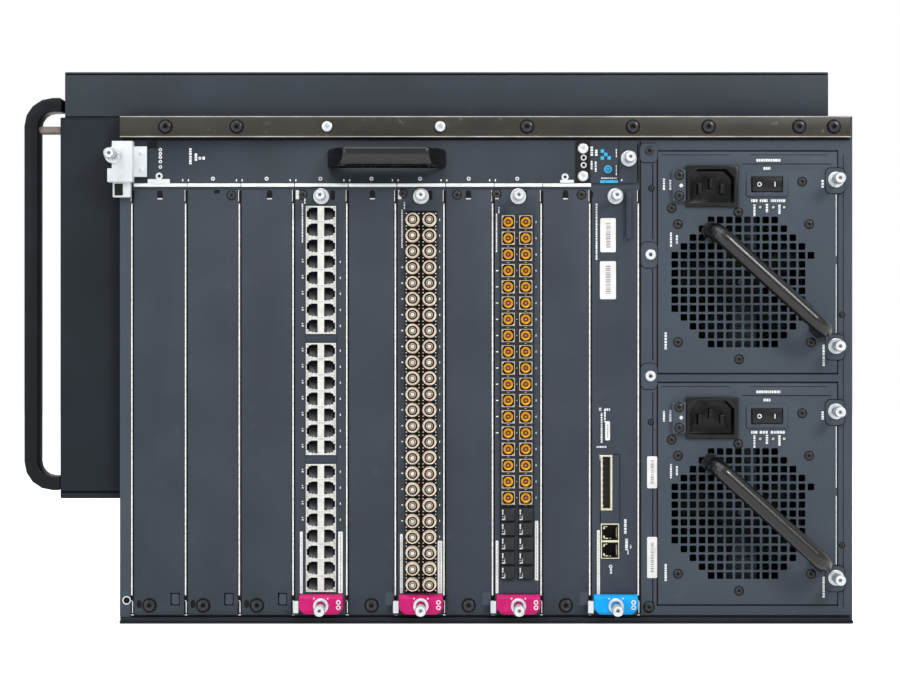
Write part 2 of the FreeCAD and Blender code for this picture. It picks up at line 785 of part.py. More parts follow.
def add_grille(body, name):
    # square holes on an even grid inside a stepped circle, as runs of (columns, rows);
    # the last column on the right has a single hole, three rows above the middle
    corner = [rect("grille_x + 7.5 * hole_step_x - hole / 2", "grille_z + 3 * hole_step_z - hole / 2",
                   "hole", "hole")]
    pocket(body, draw(body, name + "CornerHole", "XZ_Plane", corner), "face + over", True)
    runs = [((-7.5,), 7), ((-6.5, 6.5), 9), ((-5.5, 5.5), 11), ((-4.5, 4.5), 13),
            ((-3.5, -2.5, -1.5, -0.5, 0.5, 1.5, 2.5, 3.5), 15)]
    for columns, count in runs:
        low = f"grille_z - {(count - 1) / 2} * hole_step_z - hole / 2"
        squares = [rect(f"grille_x + {c} * hole_step_x - hole / 2", low, "hole", "hole") for c in columns]
        sketch = draw(body, f"{name}Holes{count}", "XZ_Plane", squares)
        rows(body, pocket(body, sketch, "face + over", True), "V_Axis", "hole_step_z", count)


def make_inlet(name, label, low):
    body = new_body(name, "psu_left + inlet_left", "0", f"({low}) + inlet_low")
    rim = "(inlet_rim)"
    corner = "inlet_cut"
    opening = [
        (rim, rim), (f"inlet_wide - {rim}", rim), (f"inlet_wide - {rim}", f"inlet_tall - {rim} - {corner}"),
        (f"inlet_wide - {rim} - {corner}", f"inlet_tall - {rim}"),
        (f"{rim} + {corner}", f"inlet_tall - {rim}"),
        (rim, f"inlet_tall - {rim} - {corner}"),
    ]
    flange = rect("0", "0", "inlet_wide", "inlet_tall")
    shroud = rect("inlet_flange", "inlet_flange", "inlet_wide - 2 * inlet_flange",
                  "inlet_tall - 2 * inlet_flange")
    pad(body, draw(body, name + "Flange", "XZ_Plane", [flange, opening]), "inlet_proud")
    pad(body, draw(body, name + "Shroud", "XZ_Plane", [shroud, opening]), "inlet_deep", True)
    pad(body, draw(body, name + "Floor", "XZ_Plane", [shroud], "-inlet_deep"), "inlet_floor", True)
    middle = "inlet_wide / 2"
    blades = []
    for side, rise in ((-1, 0), (0, 1), (1, 0)):
        low_edge = f"(inlet_tall - blade_tall) / 2 - blade_drop + {rise} * blade_lift"
        blades.append(rect(f"{middle} + {side} * blade_step - blade_wide / 2", low_edge, "blade_wide",
                           "blade_tall"))
    pad(body, draw(body, name + "Blades", "XZ_Plane", blades, "-inlet_deep"),
        "inlet_deep + inlet_proud - blade_back")
    keep(label, body)


def make_rocker(name, label, low):
    # dished rocker seen from above, as tall as its well allows
    half = "rocker_wide / 2"
    ring = [
        (f"-{half}", "rocker_deep"), (f"-{half}", "-rocker_horn"), ("0", "-rocker_horn + rocker_dip"),
        (half, "-rocker_horn"), (half, "rocker_deep"),
    ]
    x = "psu_left + bezel_left + bezel_wide / 2"
    z = f"({low}) + bezel_low + (bezel_tall - rocker_tall) / 2"
    keep(label, plate(name, "XY_Plane", [ring], "rocker_tall", x, "-bezel_proud / 2", z))


def make_bow_handle(name, label, low):
    # moulded handle lying across the grille, its feet flat on the panel
    x = "psu_left + bow_x"
    z = f"({low}) + bow_z"
    ring = [
        ("-bow_foot / 2", "0"), ("-bow_foot / 2", "-bow_foot_thick"), ("-bow_thick / 2", "-bow_foot_thick"),
        ("-bow_thick / 2", "-bow_rise + bow_slope"),
        ("bow_slope - bow_thick / 2", "-bow_rise"), ("bow_span - bow_slope + bow_thick / 2", "-bow_rise"),
        ("bow_span + bow_thick / 2", "-bow_rise + bow_slope"),
        ("bow_span + bow_thick / 2", "-bow_foot_thick"),
        ("bow_span + bow_foot / 2", "-bow_foot_thick"), ("bow_span + bow_foot / 2", "0"),
        ("bow_span - bow_thick / 2", "0"),
        ("bow_span - bow_thick / 2", "-bow_rise + bow_thick + bow_fillet"),
        ("bow_span - bow_thick / 2 - bow_fillet", "-bow_rise + bow_thick"),
        ("bow_thick / 2 + bow_fillet", "-bow_rise + bow_thick"),
        ("bow_thick / 2", "-bow_rise + bow_thick + bow_fillet"),
        ("bow_thick / 2", "0"),
    ]
    body = doc.addObject("PartDesign::Body", name)
    sketch = draw(body, name + "Outline", "XY_Plane", [ring])
    pad(body, sketch, "bow_thick").Midplane = True
    body.Placement = FreeCAD.Placement(FreeCAD.Vector(),
                                       FreeCAD.Rotation(FreeCAD.Vector(0, 1, 0), worth("bow_angle")))
    bind(body, "Placement.Rotation.Angle", "bow_angle")
    place(body, x, "0", z)
    keep(label, body)


def make_fan(name, label, low):
    body = new_body(name, "psu_left + grille_x", "face + fan_gap", f"({low}) + grille_z")
    hub = ngon("0", "0", "fan_hub", 8)
    pad(body, draw(body, name + "Hub", "XZ_Plane", [hub]), "fan_deep", True)
    hole = disc(body, name + "Bore", "XZ_Plane", "0", "0", "fan_pin + fan_play")
    pocket(body, hole)
    root = "fan_hub - vane_sink"
    blade = [("-vane_root", root), ("vane_root", root), ("vane_lead", "fan_radius"),
             ("-vane_trail", "fan_radius - vane_short")]
    sketch = draw(body, name + "Blade", "XZ_Plane", [blade], "-fan_deep / 2")
    first = pad(body, sketch, "vane_thick")
    first.Midplane = True
    around = body.newObject("PartDesign::PolarPattern", name + "Blades")
    around.Originals = [first]
    around.Axis = (sketch, ["N_Axis"])
    around.Angle = 360
    around.Occurrences = 5
    body.Tip = around
    keep(label, body)


def make_psus():
    for number, rank in ((1, 1), (2, 0)):
        low = f"psu_low + {rank} * psu_pitch"
        name = f"Psu{number}"
        word = f"psu_{number}"
        make_psu_case(name + "Case", f"{word}_case", low)
        make_inlet(name + "Inlet", f"{word}_inlet", low)
        make_rocker(name + "Rocker", f"{word}_rocker", low)
        make_bow_handle(name + "Handle", f"{word}_handle", low)
        make_fan(name + "Fan", f"{word}_fan", low)
        x = "psu_left + psu_wide - psu_knob_in"
        make_knob(f"{word}_top_screw", name + "TopScrew", x, "0", f"({low}) + ear_high")
        make_knob(f"{word}_low_screw", name + "LowScrew", x, "0", f"({low}) + ear_low")


def make_fan_tray():
    left = "slot_left + gasket_wide / 2"
    wide = f"{slot_edge(10)} - slot_left - gasket_wide"
    panel = block("TrayPanel", left, "0", "tray_low", wide, "face", "tray_tall")
    floor = new_body("TrayFloor", "slot_left + fit", "face", "tray_low + 2 * fit")
    span = f"({slot_edge(10)} - slot_left - 2 * fit)"
    rings = [rect("0", "0", span, "tray_deep")]
    for side in (-1, 0, 1):
        x = f"{span} / 2 + {side} * fan_spacing - tray_hole"
        rings.append(rect(x, "tray_deep / 2 - tray_hole", "2 * tray_hole", "2 * tray_hole"))
    pad(floor, draw(floor, "TrayFloorOutline", "XY_Plane", rings), "sheet")
    parts = [panel, floor]
    hubs = []
    for side in (-1, 0, 1):
        middle = f"{span} / 2 + {side} * fan_spacing"
        parts.append(block(f"TraySpoke{side + 1}", f"slot_left + fit + {middle} - tray_hole",
                           "face + (tray_deep - hub_bar) / 2", "tray_low + 2 * fit", "2 * tray_hole",
                           "hub_bar",
                           "sheet"))
        hubs.append(ngon(middle, "tray_deep / 2", "tray_hub", 6))
    parts.append(plate("TrayHubs", "XY_Plane", hubs, "hub_tall", "slot_left + fit", "face",
                       "tray_low + 2 * fit"))
    keep("fan_tray", fuse("FanTray", parts))


def make_tray_handle():
    # faceted pull seen from above, with its lower front edge cut back
    ring = [
        ("0", "0"), ("pull_slope", "-pull_rise"), ("pull_wide - pull_slope", "-pull_rise"),
        ("pull_wide", "0"),
        ("pull_wide - pull_thick", "0"),
        ("pull_wide - pull_slope - pull_thick / 2", "-pull_rise + pull_thick"),
        ("pull_slope + pull_thick / 2", "-pull_rise + pull_thick"), ("pull_thick", "0"),
    ]
    body = plate("TrayHandle", "XY_Plane", [ring], "pull_tall", "pull_left", "0", "pull_low")
    wedge = [("-pull_rise - over", "-over"), ("-pull_rise + pull_thick", "-over"),
             ("-pull_rise - over", "pull_cut + over")]
    sketch = draw(body, "TrayHandleWedge", "YZ_Plane", [wedge])
    pocket(body, sketch)
    keep("tray_handle", body)


def make_latch_block():
    upper = block("LatchUpper", "latch_left", "-latch_proud", "latch_low", "latch_wide", "latch_proud",
                  "latch_tall")
    lower = block("LatchLower", "latch_left - latch_step", "-latch_proud", "latch_low", "latch_wide / 2",
                  "latch_proud", "latch_tall / 3")
    pad_plate = block("LatchPad", "latch_left + latch_wide", "-latch_pad_thick",
                      "latch_low + latch_pad_rise",
                      "latch_pad_wide", "latch_pad_thick", "latch_pad_tall")
    foot = block("LatchFoot", "latch_left", "-latch_foot_thick", "latch_low - latch_foot_drop",
                 "latch_foot_wide",
                 "latch_foot_thick", "latch_foot_drop")
    window = block("LatchWindow", "latch_left + latch_frame", "-latch_foot_thick - over",
                   "latch_low - latch_foot_drop + latch_frame", "latch_window", "latch_foot_thick - over",
                   "latch_foot_drop - latch_frame - over")
    body = cut("LatchCut", fuse("LatchFused", [upper, lower, pad_plate, foot]), [window])
    keep("tray_bracket", body)
    make_knob("tray_left_screw", "TrayLeftScrew", "latch_left + latch_screw_in", "-latch_proud",
              "latch_low + latch_screw_rise")
    make_knob("tray_right_screw", "TrayRightScrew", "tray_screw_x", "0", "tray_screw_z")


make_chassis()
make_front_bar()
make_fixed_screws()
make_ducts()
make_side_handle()
for slot in (0, 1, 2, 4, 6, 8):
    make_blank(slot)
make_gaskets()
make_backplane()
make_copper_card()
make_coax_card()
make_port_card()
make_control_card()
make_psus()
make_fan_tray()
make_tray_handle()
make_latch_block()
doc.recompute()

for thing in doc.Objects:
    if "Invalid" in thing.State or "Error" in thing.State:
        raise RuntimeError(f"{thing.Name} failed: {thing.State}")
os.makedirs("parts", exist_ok=True)
for piece in pieces:
    shape = piece.Shape
    if shape.isNull() or not shape.isValid() or not shape.Solids:
        raise RuntimeError(f"{piece.Label} has no valid solid")
for piece in pieces:
    piece.Shape.exportStep(f"parts/{piece.Label}.step")
print(len(pieces), "pieces")
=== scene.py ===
import json
import math
import random

import bmesh
import bpy
from mathutils import Matrix, Vector


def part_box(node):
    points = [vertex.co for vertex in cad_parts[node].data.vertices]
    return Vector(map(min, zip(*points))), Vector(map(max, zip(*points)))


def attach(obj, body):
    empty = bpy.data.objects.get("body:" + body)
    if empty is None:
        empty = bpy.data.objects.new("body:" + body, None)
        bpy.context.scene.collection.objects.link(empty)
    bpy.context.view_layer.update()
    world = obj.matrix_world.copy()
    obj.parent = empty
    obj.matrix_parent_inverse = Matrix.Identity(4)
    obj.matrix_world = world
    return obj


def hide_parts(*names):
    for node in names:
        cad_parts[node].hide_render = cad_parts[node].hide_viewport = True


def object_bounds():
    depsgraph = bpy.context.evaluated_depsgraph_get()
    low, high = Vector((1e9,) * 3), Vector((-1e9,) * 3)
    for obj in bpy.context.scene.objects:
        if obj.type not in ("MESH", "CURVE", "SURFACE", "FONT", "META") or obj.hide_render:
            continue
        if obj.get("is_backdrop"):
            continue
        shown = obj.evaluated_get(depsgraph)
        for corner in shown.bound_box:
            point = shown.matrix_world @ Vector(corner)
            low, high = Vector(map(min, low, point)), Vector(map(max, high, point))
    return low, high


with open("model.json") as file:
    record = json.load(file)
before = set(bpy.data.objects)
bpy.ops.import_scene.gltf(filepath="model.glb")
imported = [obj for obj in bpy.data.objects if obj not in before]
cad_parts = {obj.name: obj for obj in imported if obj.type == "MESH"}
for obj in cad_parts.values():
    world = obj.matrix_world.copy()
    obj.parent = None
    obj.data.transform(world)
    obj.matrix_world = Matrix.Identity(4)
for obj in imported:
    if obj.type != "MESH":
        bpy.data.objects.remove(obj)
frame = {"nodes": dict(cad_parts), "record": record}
cadLow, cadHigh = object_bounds()

# everything below is in millimetres from the lower left corner of the chassis front,
# x to the right, y into the chassis, z up; panels have their face at y = 0
corner = Vector((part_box("chassis")[0].x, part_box("blank_1")[0].y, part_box("chassis")[0].z))
toWorld = Matrix.Translation(corner) @ Matrix.Scale(0.001, 4)
toLocal = toWorld.inverted()
bodyOf = {node: body for body, nodes in frame["record"]["behaviour"]["bodies"].items() for node in nodes}
slotOf = {part["node"]: part["material_slot"] for part in frame["record"]["subparts"]}
random.seed(4)


def boxOf(node):
    low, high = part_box(node)
    return toLocal @ low, toLocal @ high


def middleOf(node):
    low, high = boxOf(node)
    return (low + high) / 2


# finishes: each starts from what the real surface is and how it was made

def linear(colour):
    parts = [int(colour[k:k + 2], 16) / 255 for k in (1, 3, 5)]
    return [p / 12.92 if p <= 0.04045 else ((p + 0.055) / 1.055) ** 2.4 for p in parts] + [1]


def addNode(tree, kind, inputs=None, **settings):
    node = tree.nodes.new(kind)
    for name, value in settings.items():
        setattr(node, name, value)
    for name, value in (inputs or {}).items():
        if isinstance(value, bpy.types.NodeSocket):
            tree.links.new(value, node.inputs[name])
        else:
            node.inputs[name].default_value = value
    return node


# colour and second make slow patches, worn shows in specks; patch, grain and bump are in mm.
# real orange peel and moulding grain are finer: they are drawn this coarse so that they show
finishes = {
    # powder coat, sprayed and baked on folded sheet steel: satin blue-grey with a fine orange peel
    "dark_paint": dict(colour="#39414a", second="#3d454e", worn="#5b626b", patch=70, grain=0.9, rough=0.5,
                       sheen=0.2),
    "panel_paint": dict(colour="#2d343c", second="#333a43", worn="#525a63", patch=55, grain=0.9,
                        rough=0.5, sheen=0.2),
    # panel paint darkened into painted shade, for the fan tray
    "tray_paint": dict(colour="#2b3138", second="#31383f", worn="#565d66", patch=60, grain=0.9,
                       rough=0.52, sheen=0.18),
    "duct_paint": dict(colour="#282e34", second="#2f353c", worn="#4c5159", patch=80, grain=0.8,
                       rough=0.55, sheen=0.18),
    # duct paint darkened into painted shade, for the side duct and the bottom strip
    "shaded_duct_paint": dict(colour="#161b20", second="#1b2026", worn="#3a3f46", patch=80, grain=0.8,
                              rough=0.6, sheen=0.14),
    # duct paint lightened into painted highlight, for the lit edges of the ducts and the bottom strip
    "hem_paint": dict(colour="#596068", second="#4d545c", worn="#868d95", patch=60, grain=0.8, rough=0.5,
                      sheen=0.25),
    # brown-black enamel on the rolled mounting bar, dull and rubbed in places
    "bar_paint": dict(colour="#25221e", second="#2f2b26", worn="#7d7971", patch=40, grain=0.6, rough=0.42,
                      wear=0.5, sheen=0.25),
    # pale streaky strips on the mounting bar's edges: painted highlight of its chamfers, and bare mild steel
    # where the paint has rubbed off
    "worn_edge": dict(colour="#b9b5ad", second="#8f8b84", worn="#e4e1db", patch=25, grain=0.4, rough=0.38,
                      metal=0.3, wear=0.7),
    # stoved enamel on bent tube: smooth black with a low gloss
    "black_paint": dict(colour="#0b0e11", second="#11151a", worn="#33383d", patch=45, grain=0.5,
                        rough=0.42, sheen=0.13),
    # cold-headed screws, blackened in hot oxide: near black with a dull shine
    "black_steel": dict(colour="#1d1e20", second="#2a2b2e", worn="#6a6c6f", patch=3, grain=0.3, rough=0.3,
                        metal=0.5, wear=0.4),
    # turned steel with zinc plate: pale, bright and slightly blue
    "bright_steel": dict(colour="#d3d6d9", second="#c0c4c8", worn="#8d9195", patch=5, grain=0.25,
                         rough=0.26, metal=0.35, bump=0.006),
    # tinned spring steel, stamped into fingers: almost white
    "gasket_steel": dict(colour="#e6e7e6", second="#d2d4d3", worn="#9ea3a4", patch=9, grain=0.4,
                         rough=0.35, metal=0.25, wear=0.35, bump=0.01),
    # glass-fibre laminate, pressed and coated with solder mask: dark green
    "board_laminate": dict(colour="#1b4a2c", second="#16391f", worn="#7d8a4a", patch=18, grain=0.4,
                           rough=0.4),
    # waxed cotton webbing, woven: tan and matt
    "tan_strap": dict(colour="#857b70", second="#6b6158", worn="#b3a89b", patch=9, grain=0.6, rough=0.75),
    # nylon and ABS, injection moulded: glossy black, satin white and coloured levers
    "black_plastic": dict(colour="#08090a", second="#0f1012", worn="#2d2f33", patch=12, grain=0.4,
                          rough=0.3, sheen=0.22),
    "white_plastic": dict(colour="#d2d5d8", second="#c5c9cd", worn="#b4b8bc", patch=14, grain=0.5,
                          rough=0.42),
    "pink_plastic": dict(colour="#c4146a", second="#b40f60", worn="#ee74ab", patch=10, grain=0.5,
                         rough=0.42, sheen=0.2),
    "blue_plastic": dict(colour="#009fe6", second="#0092dc", worn="#6fc6f2", patch=10, grain=0.5,
                         rough=0.42, sheen=0.2),
    # tinned brass strip, drawn into shells: silver-white with a soft gloss
    "jack_shell": dict(colour="#d6d5d1", second="#c5c4bf", worn="#a9a69e", patch=6, grain=0.3, rough=0.34,
                       metal=0.05, bump=0.008),
    "service_shell": dict(colour="#d3d1b6", second="#c2c0a2", worn="#8d9078", patch=6, grain=0.3,
                          rough=0.34, metal=0.05, bump=0.008),
    # spring contacts and their ramp, stamped and tinned: mid grey; also the painted shade deep in each thumb
    # screw's socket
    "contact_steel": dict(colour="#6c6e70", second="#55575a", worn="#b9bbbd", patch=4, grain=0.3,
                          rough=0.4, metal=0.2, bump=0.01),
    # turned brass with nickel plate: warm silver
    "nickel": dict(colour="#e8dccd", second="#cfbfab", worn="#9c8c7c", patch=3, grain=0.25, rough=0.26,
                   metal=0.45, bump=0.006),
    # turned bronze, left bare: dull tan inside the barrels
    "bronze": dict(colour="#c2af98", second="#a5907a", worn="#efe2d0", patch=3, grain=0.25, rough=0.32,
                   metal=0.4, bump=0.006),
    # phenolic, moulded: deep matt black; it also stands as painted shade in recesses, gaps and seams
    "socket_plastic": dict(colour="#08090a", second="#0e0f11", worn="#26282b", patch=6, grain=0.35,
                           rough=0.5, sheen=0.12),
    # synthetic rubber, moulded into dust caps: charcoal with a faint sheen
    "cap_rubber": dict(colour="#141619", second="#1d2023", worn="#3c4045", patch=6, grain=0.35,
                       rough=0.45, sheen=0.25),
    # polycarbonate, moulded: smooth glossy black
    "switch_plastic": dict(colour="#0b0b0d", second="#131417", worn="#2d2f33", patch=9, grain=0.3,
                           rough=0.26, sheen=0.25),
    # glass-filled polyester, moulded: flat black, darkened further as painted shade for the fans seen through
    # the grilles
    "fan_plastic": dict(colour="#040405", second="#08080a", worn="#141416", patch=15, grain=0.5,
                        rough=0.5, sheen=0.1),
    # turned brass with flash gold: deep yellow
    "gold_plate": dict(colour="#d89d14", second="#c0850c", worn="#ffe27a", patch=2.5, grain=0.2,
                       rough=0.3, metal=0.45, bump=0.006),
    # ABS, moulded round the ports: aged cream
    "cream_plastic": dict(colour="#cabeac", second="#b0a08e", worn="#8b7d70", patch=3, grain=0.3,
                          rough=0.4),
    # polished nylon moulding of the handles: black with a clean highlight
    "bow_plastic": dict(colour="#020203", second="#040405", worn="#101012", patch=20, grain=0.5,
                        rough=0.24, bump=0.006, sheen=0.42),
    # fired ceramic bead in each round port: dark red-brown
    "red_bead": dict(colour="#4f0f06", second="#340a04", worn="#8a3a20", patch=1, grain=0.2, rough=0.4),
    # screen-printed ink: chalky, broken up by the grain of the paint below
    "white_print": dict(colour="#e6e8ea", second="#cfd2d5", worn="#8b9096", patch=4, grain=0.3, rough=0.6,
                        wear=0.3),
    "cyan_print": dict(colour="#2aa7d8", second="#2191c0", worn="#7cc6e2", patch=4, grain=0.3,
                       rough=0.55),
    "grey_print": dict(colour="#8b8f93", second="#777b80", worn="#a9adb0", patch=3, grain=0.3, rough=0.7),
    # coated label paper: off-white and matt
    "paper": dict(colour="#dededc", second="#d2d2cf", worn="#c2c2be", patch=9, grain=0.4, rough=0.7),
    # clear acrylic rings of the unlit status lamps
    "lamp_lens": dict(colour="#b9c0b4", second="#9aa396", worn="#dfe4da", patch=1.5, grain=0.2,
                      rough=0.2),
}


def makeFinish(name, colour, second, worn, patch, grain, rough, metal=0, wear=0.25, bump=0.02, sheen=0.5):
    material = bpy.data.materials.new(name)
    material.use_nodes = True
    tree = material.node_tree
    tree.nodes.clear()
    place = addNode(tree, "ShaderNodeTexCoord").outputs["Object"]
    broad = addNode(tree, "ShaderNodeTexNoise", {"Vector": place, "Scale": 1000 / patch, "Detail": 3})
    fine = addNode(tree, "ShaderNodeTexNoise", {"Vector": place, "Scale": 1000 / grain, "Detail": 2})
    scuff = addNode(tree, "ShaderNodeTexNoise", {"Vector": place, "Scale": 4000 / patch, "Detail": 8,
                                                 "Roughness": 0.7})
    # two close colours in slow patches
    blend = addNode(tree, "ShaderNodeMapRange", {"Value": broad.outputs[0], "From Min": 0.35,
                                                 "From Max": 0.65})
    base = addNode(tree, "ShaderNodeMix", {0: blend.outputs[0], 6: linear(colour), 7: linear(second)},
                   data_type="RGBA")
    # worn specks over them
    speck = addNode(tree, "ShaderNodeMapRange", {"Value": scuff.outputs[0], "From Min": 0.62,
                                                 "From Max": 0.74, "To Max": wear})
    shade = addNode(tree, "ShaderNodeMix", {0: speck.outputs[0], 6: base.outputs[2], 7: linear(worn)},
                    data_type="RGBA")
    gloss = addNode(tree, "ShaderNodeMapRange", {"Value": scuff.outputs[0], "To Min": max(rough - 0.1, 0.05),
                                                 "To Max": rough + 0.12})
    relief = addNode(tree, "ShaderNodeBump", {"Height": fine.outputs[0], "Strength": 0.6,
                                              "Distance": bump / 1000})
    skin = addNode(tree, "ShaderNodeBsdfPrincipled", {"Base Color": shade.outputs[2], "Metallic": metal,
                                                      "Roughness": gloss.outputs[0],
                                                      "Specular IOR Level": sheen,
                                                      "Normal": relief.outputs[0]})
    addNode(tree, "ShaderNodeOutputMaterial", {"Surface": skin.outputs[0]})
    return material


materials = {name: makeFinish(name, **look) for name, look in finishes.items()}
print("finishes", len(materials))


# small tools that shape a mesh

def addBox(mesh, low, high, edge=0, steps=2):
    size = [b - a for a, b in zip(low, high)]
    middle = [(a + b) / 2 for a, b in zip(low, high)]
    place = Matrix.Translation(middle) @ Matrix.Diagonal((*size, 1))
    made = bmesh.ops.create_cube(mesh, size=1, matrix=place)["verts"]
    if edge:
        soften(mesh, edgesOf(made), edge, steps)


def edgesOf(verts):
    return list({e for v in verts for e in v.link_edges})


def soften(mesh, edges, width, steps=2):
    return bmesh.ops.bevel(mesh, geom=edges, offset=width, offset_type="OFFSET", affect="EDGES",
                           segments=steps, profile=0.5, material=-1, clamp_overlap=True)


def addPlate(mesh, x, z, wide, tall, back, front, radius=0, steps=3):
    # flat plate facing forward, its four upright corners rounded
    place = Matrix.Translation((x + wide / 2, (back + front) / 2, z + tall / 2))
    size = Matrix.Diagonal((wide, abs(front - back), tall, 1))
    made = bmesh.ops.create_cube(mesh, size=1, matrix=place @ size)
    if radius:
        along = [e for e in edgesOf(made["verts"])
                 if abs((e.verts[0].co - e.verts[1].co).normalized().y) > 0.9]
        soften(mesh, along, radius, steps)


def addPrism(mesh, outline, back, front, edge=0):
    verts = [mesh.verts.new((x, back, z)) for x, z in outline]
    face = mesh.faces.new(verts)
    made = bmesh.ops.extrude_face_region(mesh, geom=[face])["geom"]
    moved = [v for v in made if isinstance(v, bmesh.types.BMVert)]
    bmesh.ops.translate(mesh, verts=moved, vec=(0, front - back, 0))
    if edge:
        rim = [e for e in edgesOf(moved)
               if abs(e.verts[0].co.y - front) + abs(e.verts[1].co.y - front) < 1e-4]
        soften(mesh, rim, edge)


def addRound(mesh, x, z, profile, steps=24):
    # profile of (radius, y) pairs turned about a line that runs forward through x, z
    verts = [mesh.verts.new((x + radius, y, z)) for radius, y in profile]
    edges = [mesh.edges.new(pair) for pair in zip(verts, verts[1:])]
    made = bmesh.ops.spin(mesh, geom=verts + edges, cent=(x, 0, z), axis=(0, 1, 0), angle=2 * math.pi,
                          steps=steps, use_merge=True)
    axis = [v for v in mesh.verts if (v.co.x - x) ** 2 + (v.co.z - z) ** 2 < 1e-8]
    bmesh.ops.remove_doubles(mesh, verts=axis, dist=1e-4)
    return made


def ringAt(mesh, x, z, radius):
    return [v for v in mesh.verts if abs(math.hypot(v.co.x - x, v.co.z - z) - radius) < 1e-3]


def makeSocket(mesh, x, z, radius, flat):
    # draws a round recess into a hexagon
    for v in ringAt(mesh, x, z, radius):
        turn = math.atan2(v.co.z - z, v.co.x - x) % (math.pi / 3) - math.pi / 6
        reach = flat / 2 / math.cos(turn) / radius
        v.co.x = x + (v.co.x - x) * reach
        v.co.z = z + (v.co.z - z) * reach


def stamp(mesh, template, x, z):
    # one more copy of a small mesh, moved to x, z
    copy = template.copy()
    copy.transform(Matrix.Translation((x, 0, z)))
    mesh.from_mesh(copy)
    bpy.data.meshes.remove(copy)


def finishPiece(name, mesh, finish, body, nodes=(), slot=None, sharp=35):
    bmesh.ops.recalc_face_normals(mesh, faces=mesh.faces)
    mesh.transform(toWorld)
    data = bpy.data.meshes.new(name)
    mesh.to_mesh(data)
    mesh.free()
    data.materials.append(materials[finish])
    data.shade_smooth()
    data.set_sharp_from_angle(angle=math.radians(sharp))
    thing = bpy.data.objects.new(name, data)
    bpy.context.collection.objects.link(thing)
    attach(thing, body)
    slot or finish
    if nodes:
        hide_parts(*nodes)
    return thing


def copyNode(node):
    # the CAD node's loose triangles, joined into flat faces
    mesh = bmesh.new()
    mesh.from_mesh(frame["nodes"][node].data)
    mesh.transform(toLocal)
    bmesh.ops.remove_doubles(mesh, verts=mesh.verts, dist=0.002)
    bmesh.ops.dissolve_limit(mesh, angle_limit=math.radians(0.5), verts=mesh.verts, edges=mesh.edges)
    return mesh


def sharpEdges(mesh, angle=28):
    return [e for e in mesh.edges if e.is_manifold and e.calc_face_angle(0) > math.radians(angle)]


def dress(node, finish, edge=0.5, steps=2, slot=None):
    # the CAD form with its edges broken
    mesh = copyNode(node)
    if edge:
        soften(mesh, sharpEdges(mesh), edge, steps)
    return finishPiece("dressed_" + node, mesh, finish, bodyOf[node], [node], slot or slotOf[node])


# printed marks and stuck-on labels

ink = {"thick": 0.12, "paperThick": 0.2, "paperCorner": 1.2}


def addDash(mesh, x, z, wide, tall, y=0):
    addBox(mesh, (x, y - ink["thick"], z), (x + wide, y + 0.05, z + tall))


def addWord(mesh, x, z, wide, tall, y=0):
    # a printed word reduced to strokes of uneven length along its longer side
    upright = tall > wide
    length = tall if upright else wide
    at = 0
    while at < length - 0.4:
        stroke = min(random.uniform(0.8, 2.2), length - at)
        if upright:
            addDash(mesh, x, z + at, wide, stroke, y)
        else:
            addDash(mesh, x + at, z, stroke, tall, y)
        at += stroke + random.uniform(0.35, 0.7)


def addRing(mesh, x, z, outer, inner, y=0, rise=0.12):
    addRound(mesh, x, z, [(inner, y), (inner, y - rise), (outer, y - rise), (outer, y), (inner, y)], 20)


def addLabel(paper, marks, x, z, wide, tall, y=0):
    # stuck-on label with bare grey bars across its middle
    addPlate(paper, x, z, wide, tall, y + 0.05, y - ink["paperThick"], ink["paperCorner"], 4)
    at = z + tall * 0.14
    while at < z + tall * 0.86:
        stroke = random.uniform(0.4, 1.2)
        addBox(marks, (x + wide * 0.36, y - ink["paperThick"] - 0.05, at), (x + wide * 0.66, y, at + stroke))
        at += stroke + random.uniform(0.4, 1)


# sheet metal, boards and mouldings that keep their CAD form, edges broken by these widths

# painted shade: the side duct and the bottom strip take the duct paint darkened, the fan tray the panel paint
# darkened
sheets = {"chassis": ("dark_paint", 0), "bottom_strip": ("shaded_duct_paint", 0.8),
          "mounting_bar": ("bar_paint", 1.2), "top_duct": ("duct_paint", 1.2),
          "side_duct": ("shaded_duct_paint", 1.2), "fan_tray": ("tray_paint", 0.4)}
for number in (1, 2, 3, 5, 7, 9):
    sheets[f"blank_{number}"] = ("panel_paint", 0.35)
for card in ("copper", "coax", "port", "control"):
    sheets[f"{card}_card_panel"] = ("panel_paint", 0.35)
    sheets[f"{card}_card_board"] = ("board_laminate", 0.2)
sheets.update({"backplane": ("board_laminate", 0.4), "side_handle": ("black_paint", 2.2, 3),
               "handle_stay": ("tan_strap", 1.2), "tray_bracket": ("white_plastic", 1)})
for node, look in sheets.items():
    dress(node, *look)
dress("tray_handle", "bow_plastic", 2.4, 3, slot="black_plastic")
print("sheet metal")


# turned screws

thumb = {"headRadius": 4.9, "headLong": 12, "stemRadius": 3.4, "collarRadius": 6.9, "collarTall": 3.2,
         "socketFlat": 3.4, "knurls": 20}
button = {"blackRadius": 5.5, "silverRadius": 4.9, "rise": 3, "socketFlat": 3.6}


def addThumbScrew(mesh, x, z, back, front):
    # captive screw from its shoulder to the knurled head with a hexagon socket
    head = front + thumb["headLong"]
    r = thumb["headRadius"]
    stem = thumb["stemRadius"]
    profile = [(0, back), (stem, back), (stem, head + 1.5), (stem + 0.5, head + 1), (stem + 0.5, head),
               (r - 0.5, head), (r, head - 0.5), (r, front + 1.2), (r - 0.7, front), (2.4, front),
               (1.9, front + 0.4), (1.9, front + 2.2), (0, front + 2.6)]
    addRound(mesh, x, z, profile, thumb["knurls"] * 2)
    for v in ringAt(mesh, x, z, r):
        turn = round(math.atan2(v.co.z - z, v.co.x - x) / math.pi * thumb["knurls"])
        if turn % 2:
            v.co.x = x + (v.co.x - x) * 0.955
            v.co.z = z + (v.co.z - z) * 0.955
    makeSocket(mesh, x, z, 1.9, thumb["socketFlat"])


def addCollar(mesh, x, z, back, front, outer, inner):
    addRound(mesh, x, z, [(inner, back), (outer, back), (outer, front + 0.6), (outer - 0.7, front),
                          (inner + 0.4, front), (inner, front + 0.4), (inner, back)], 32)


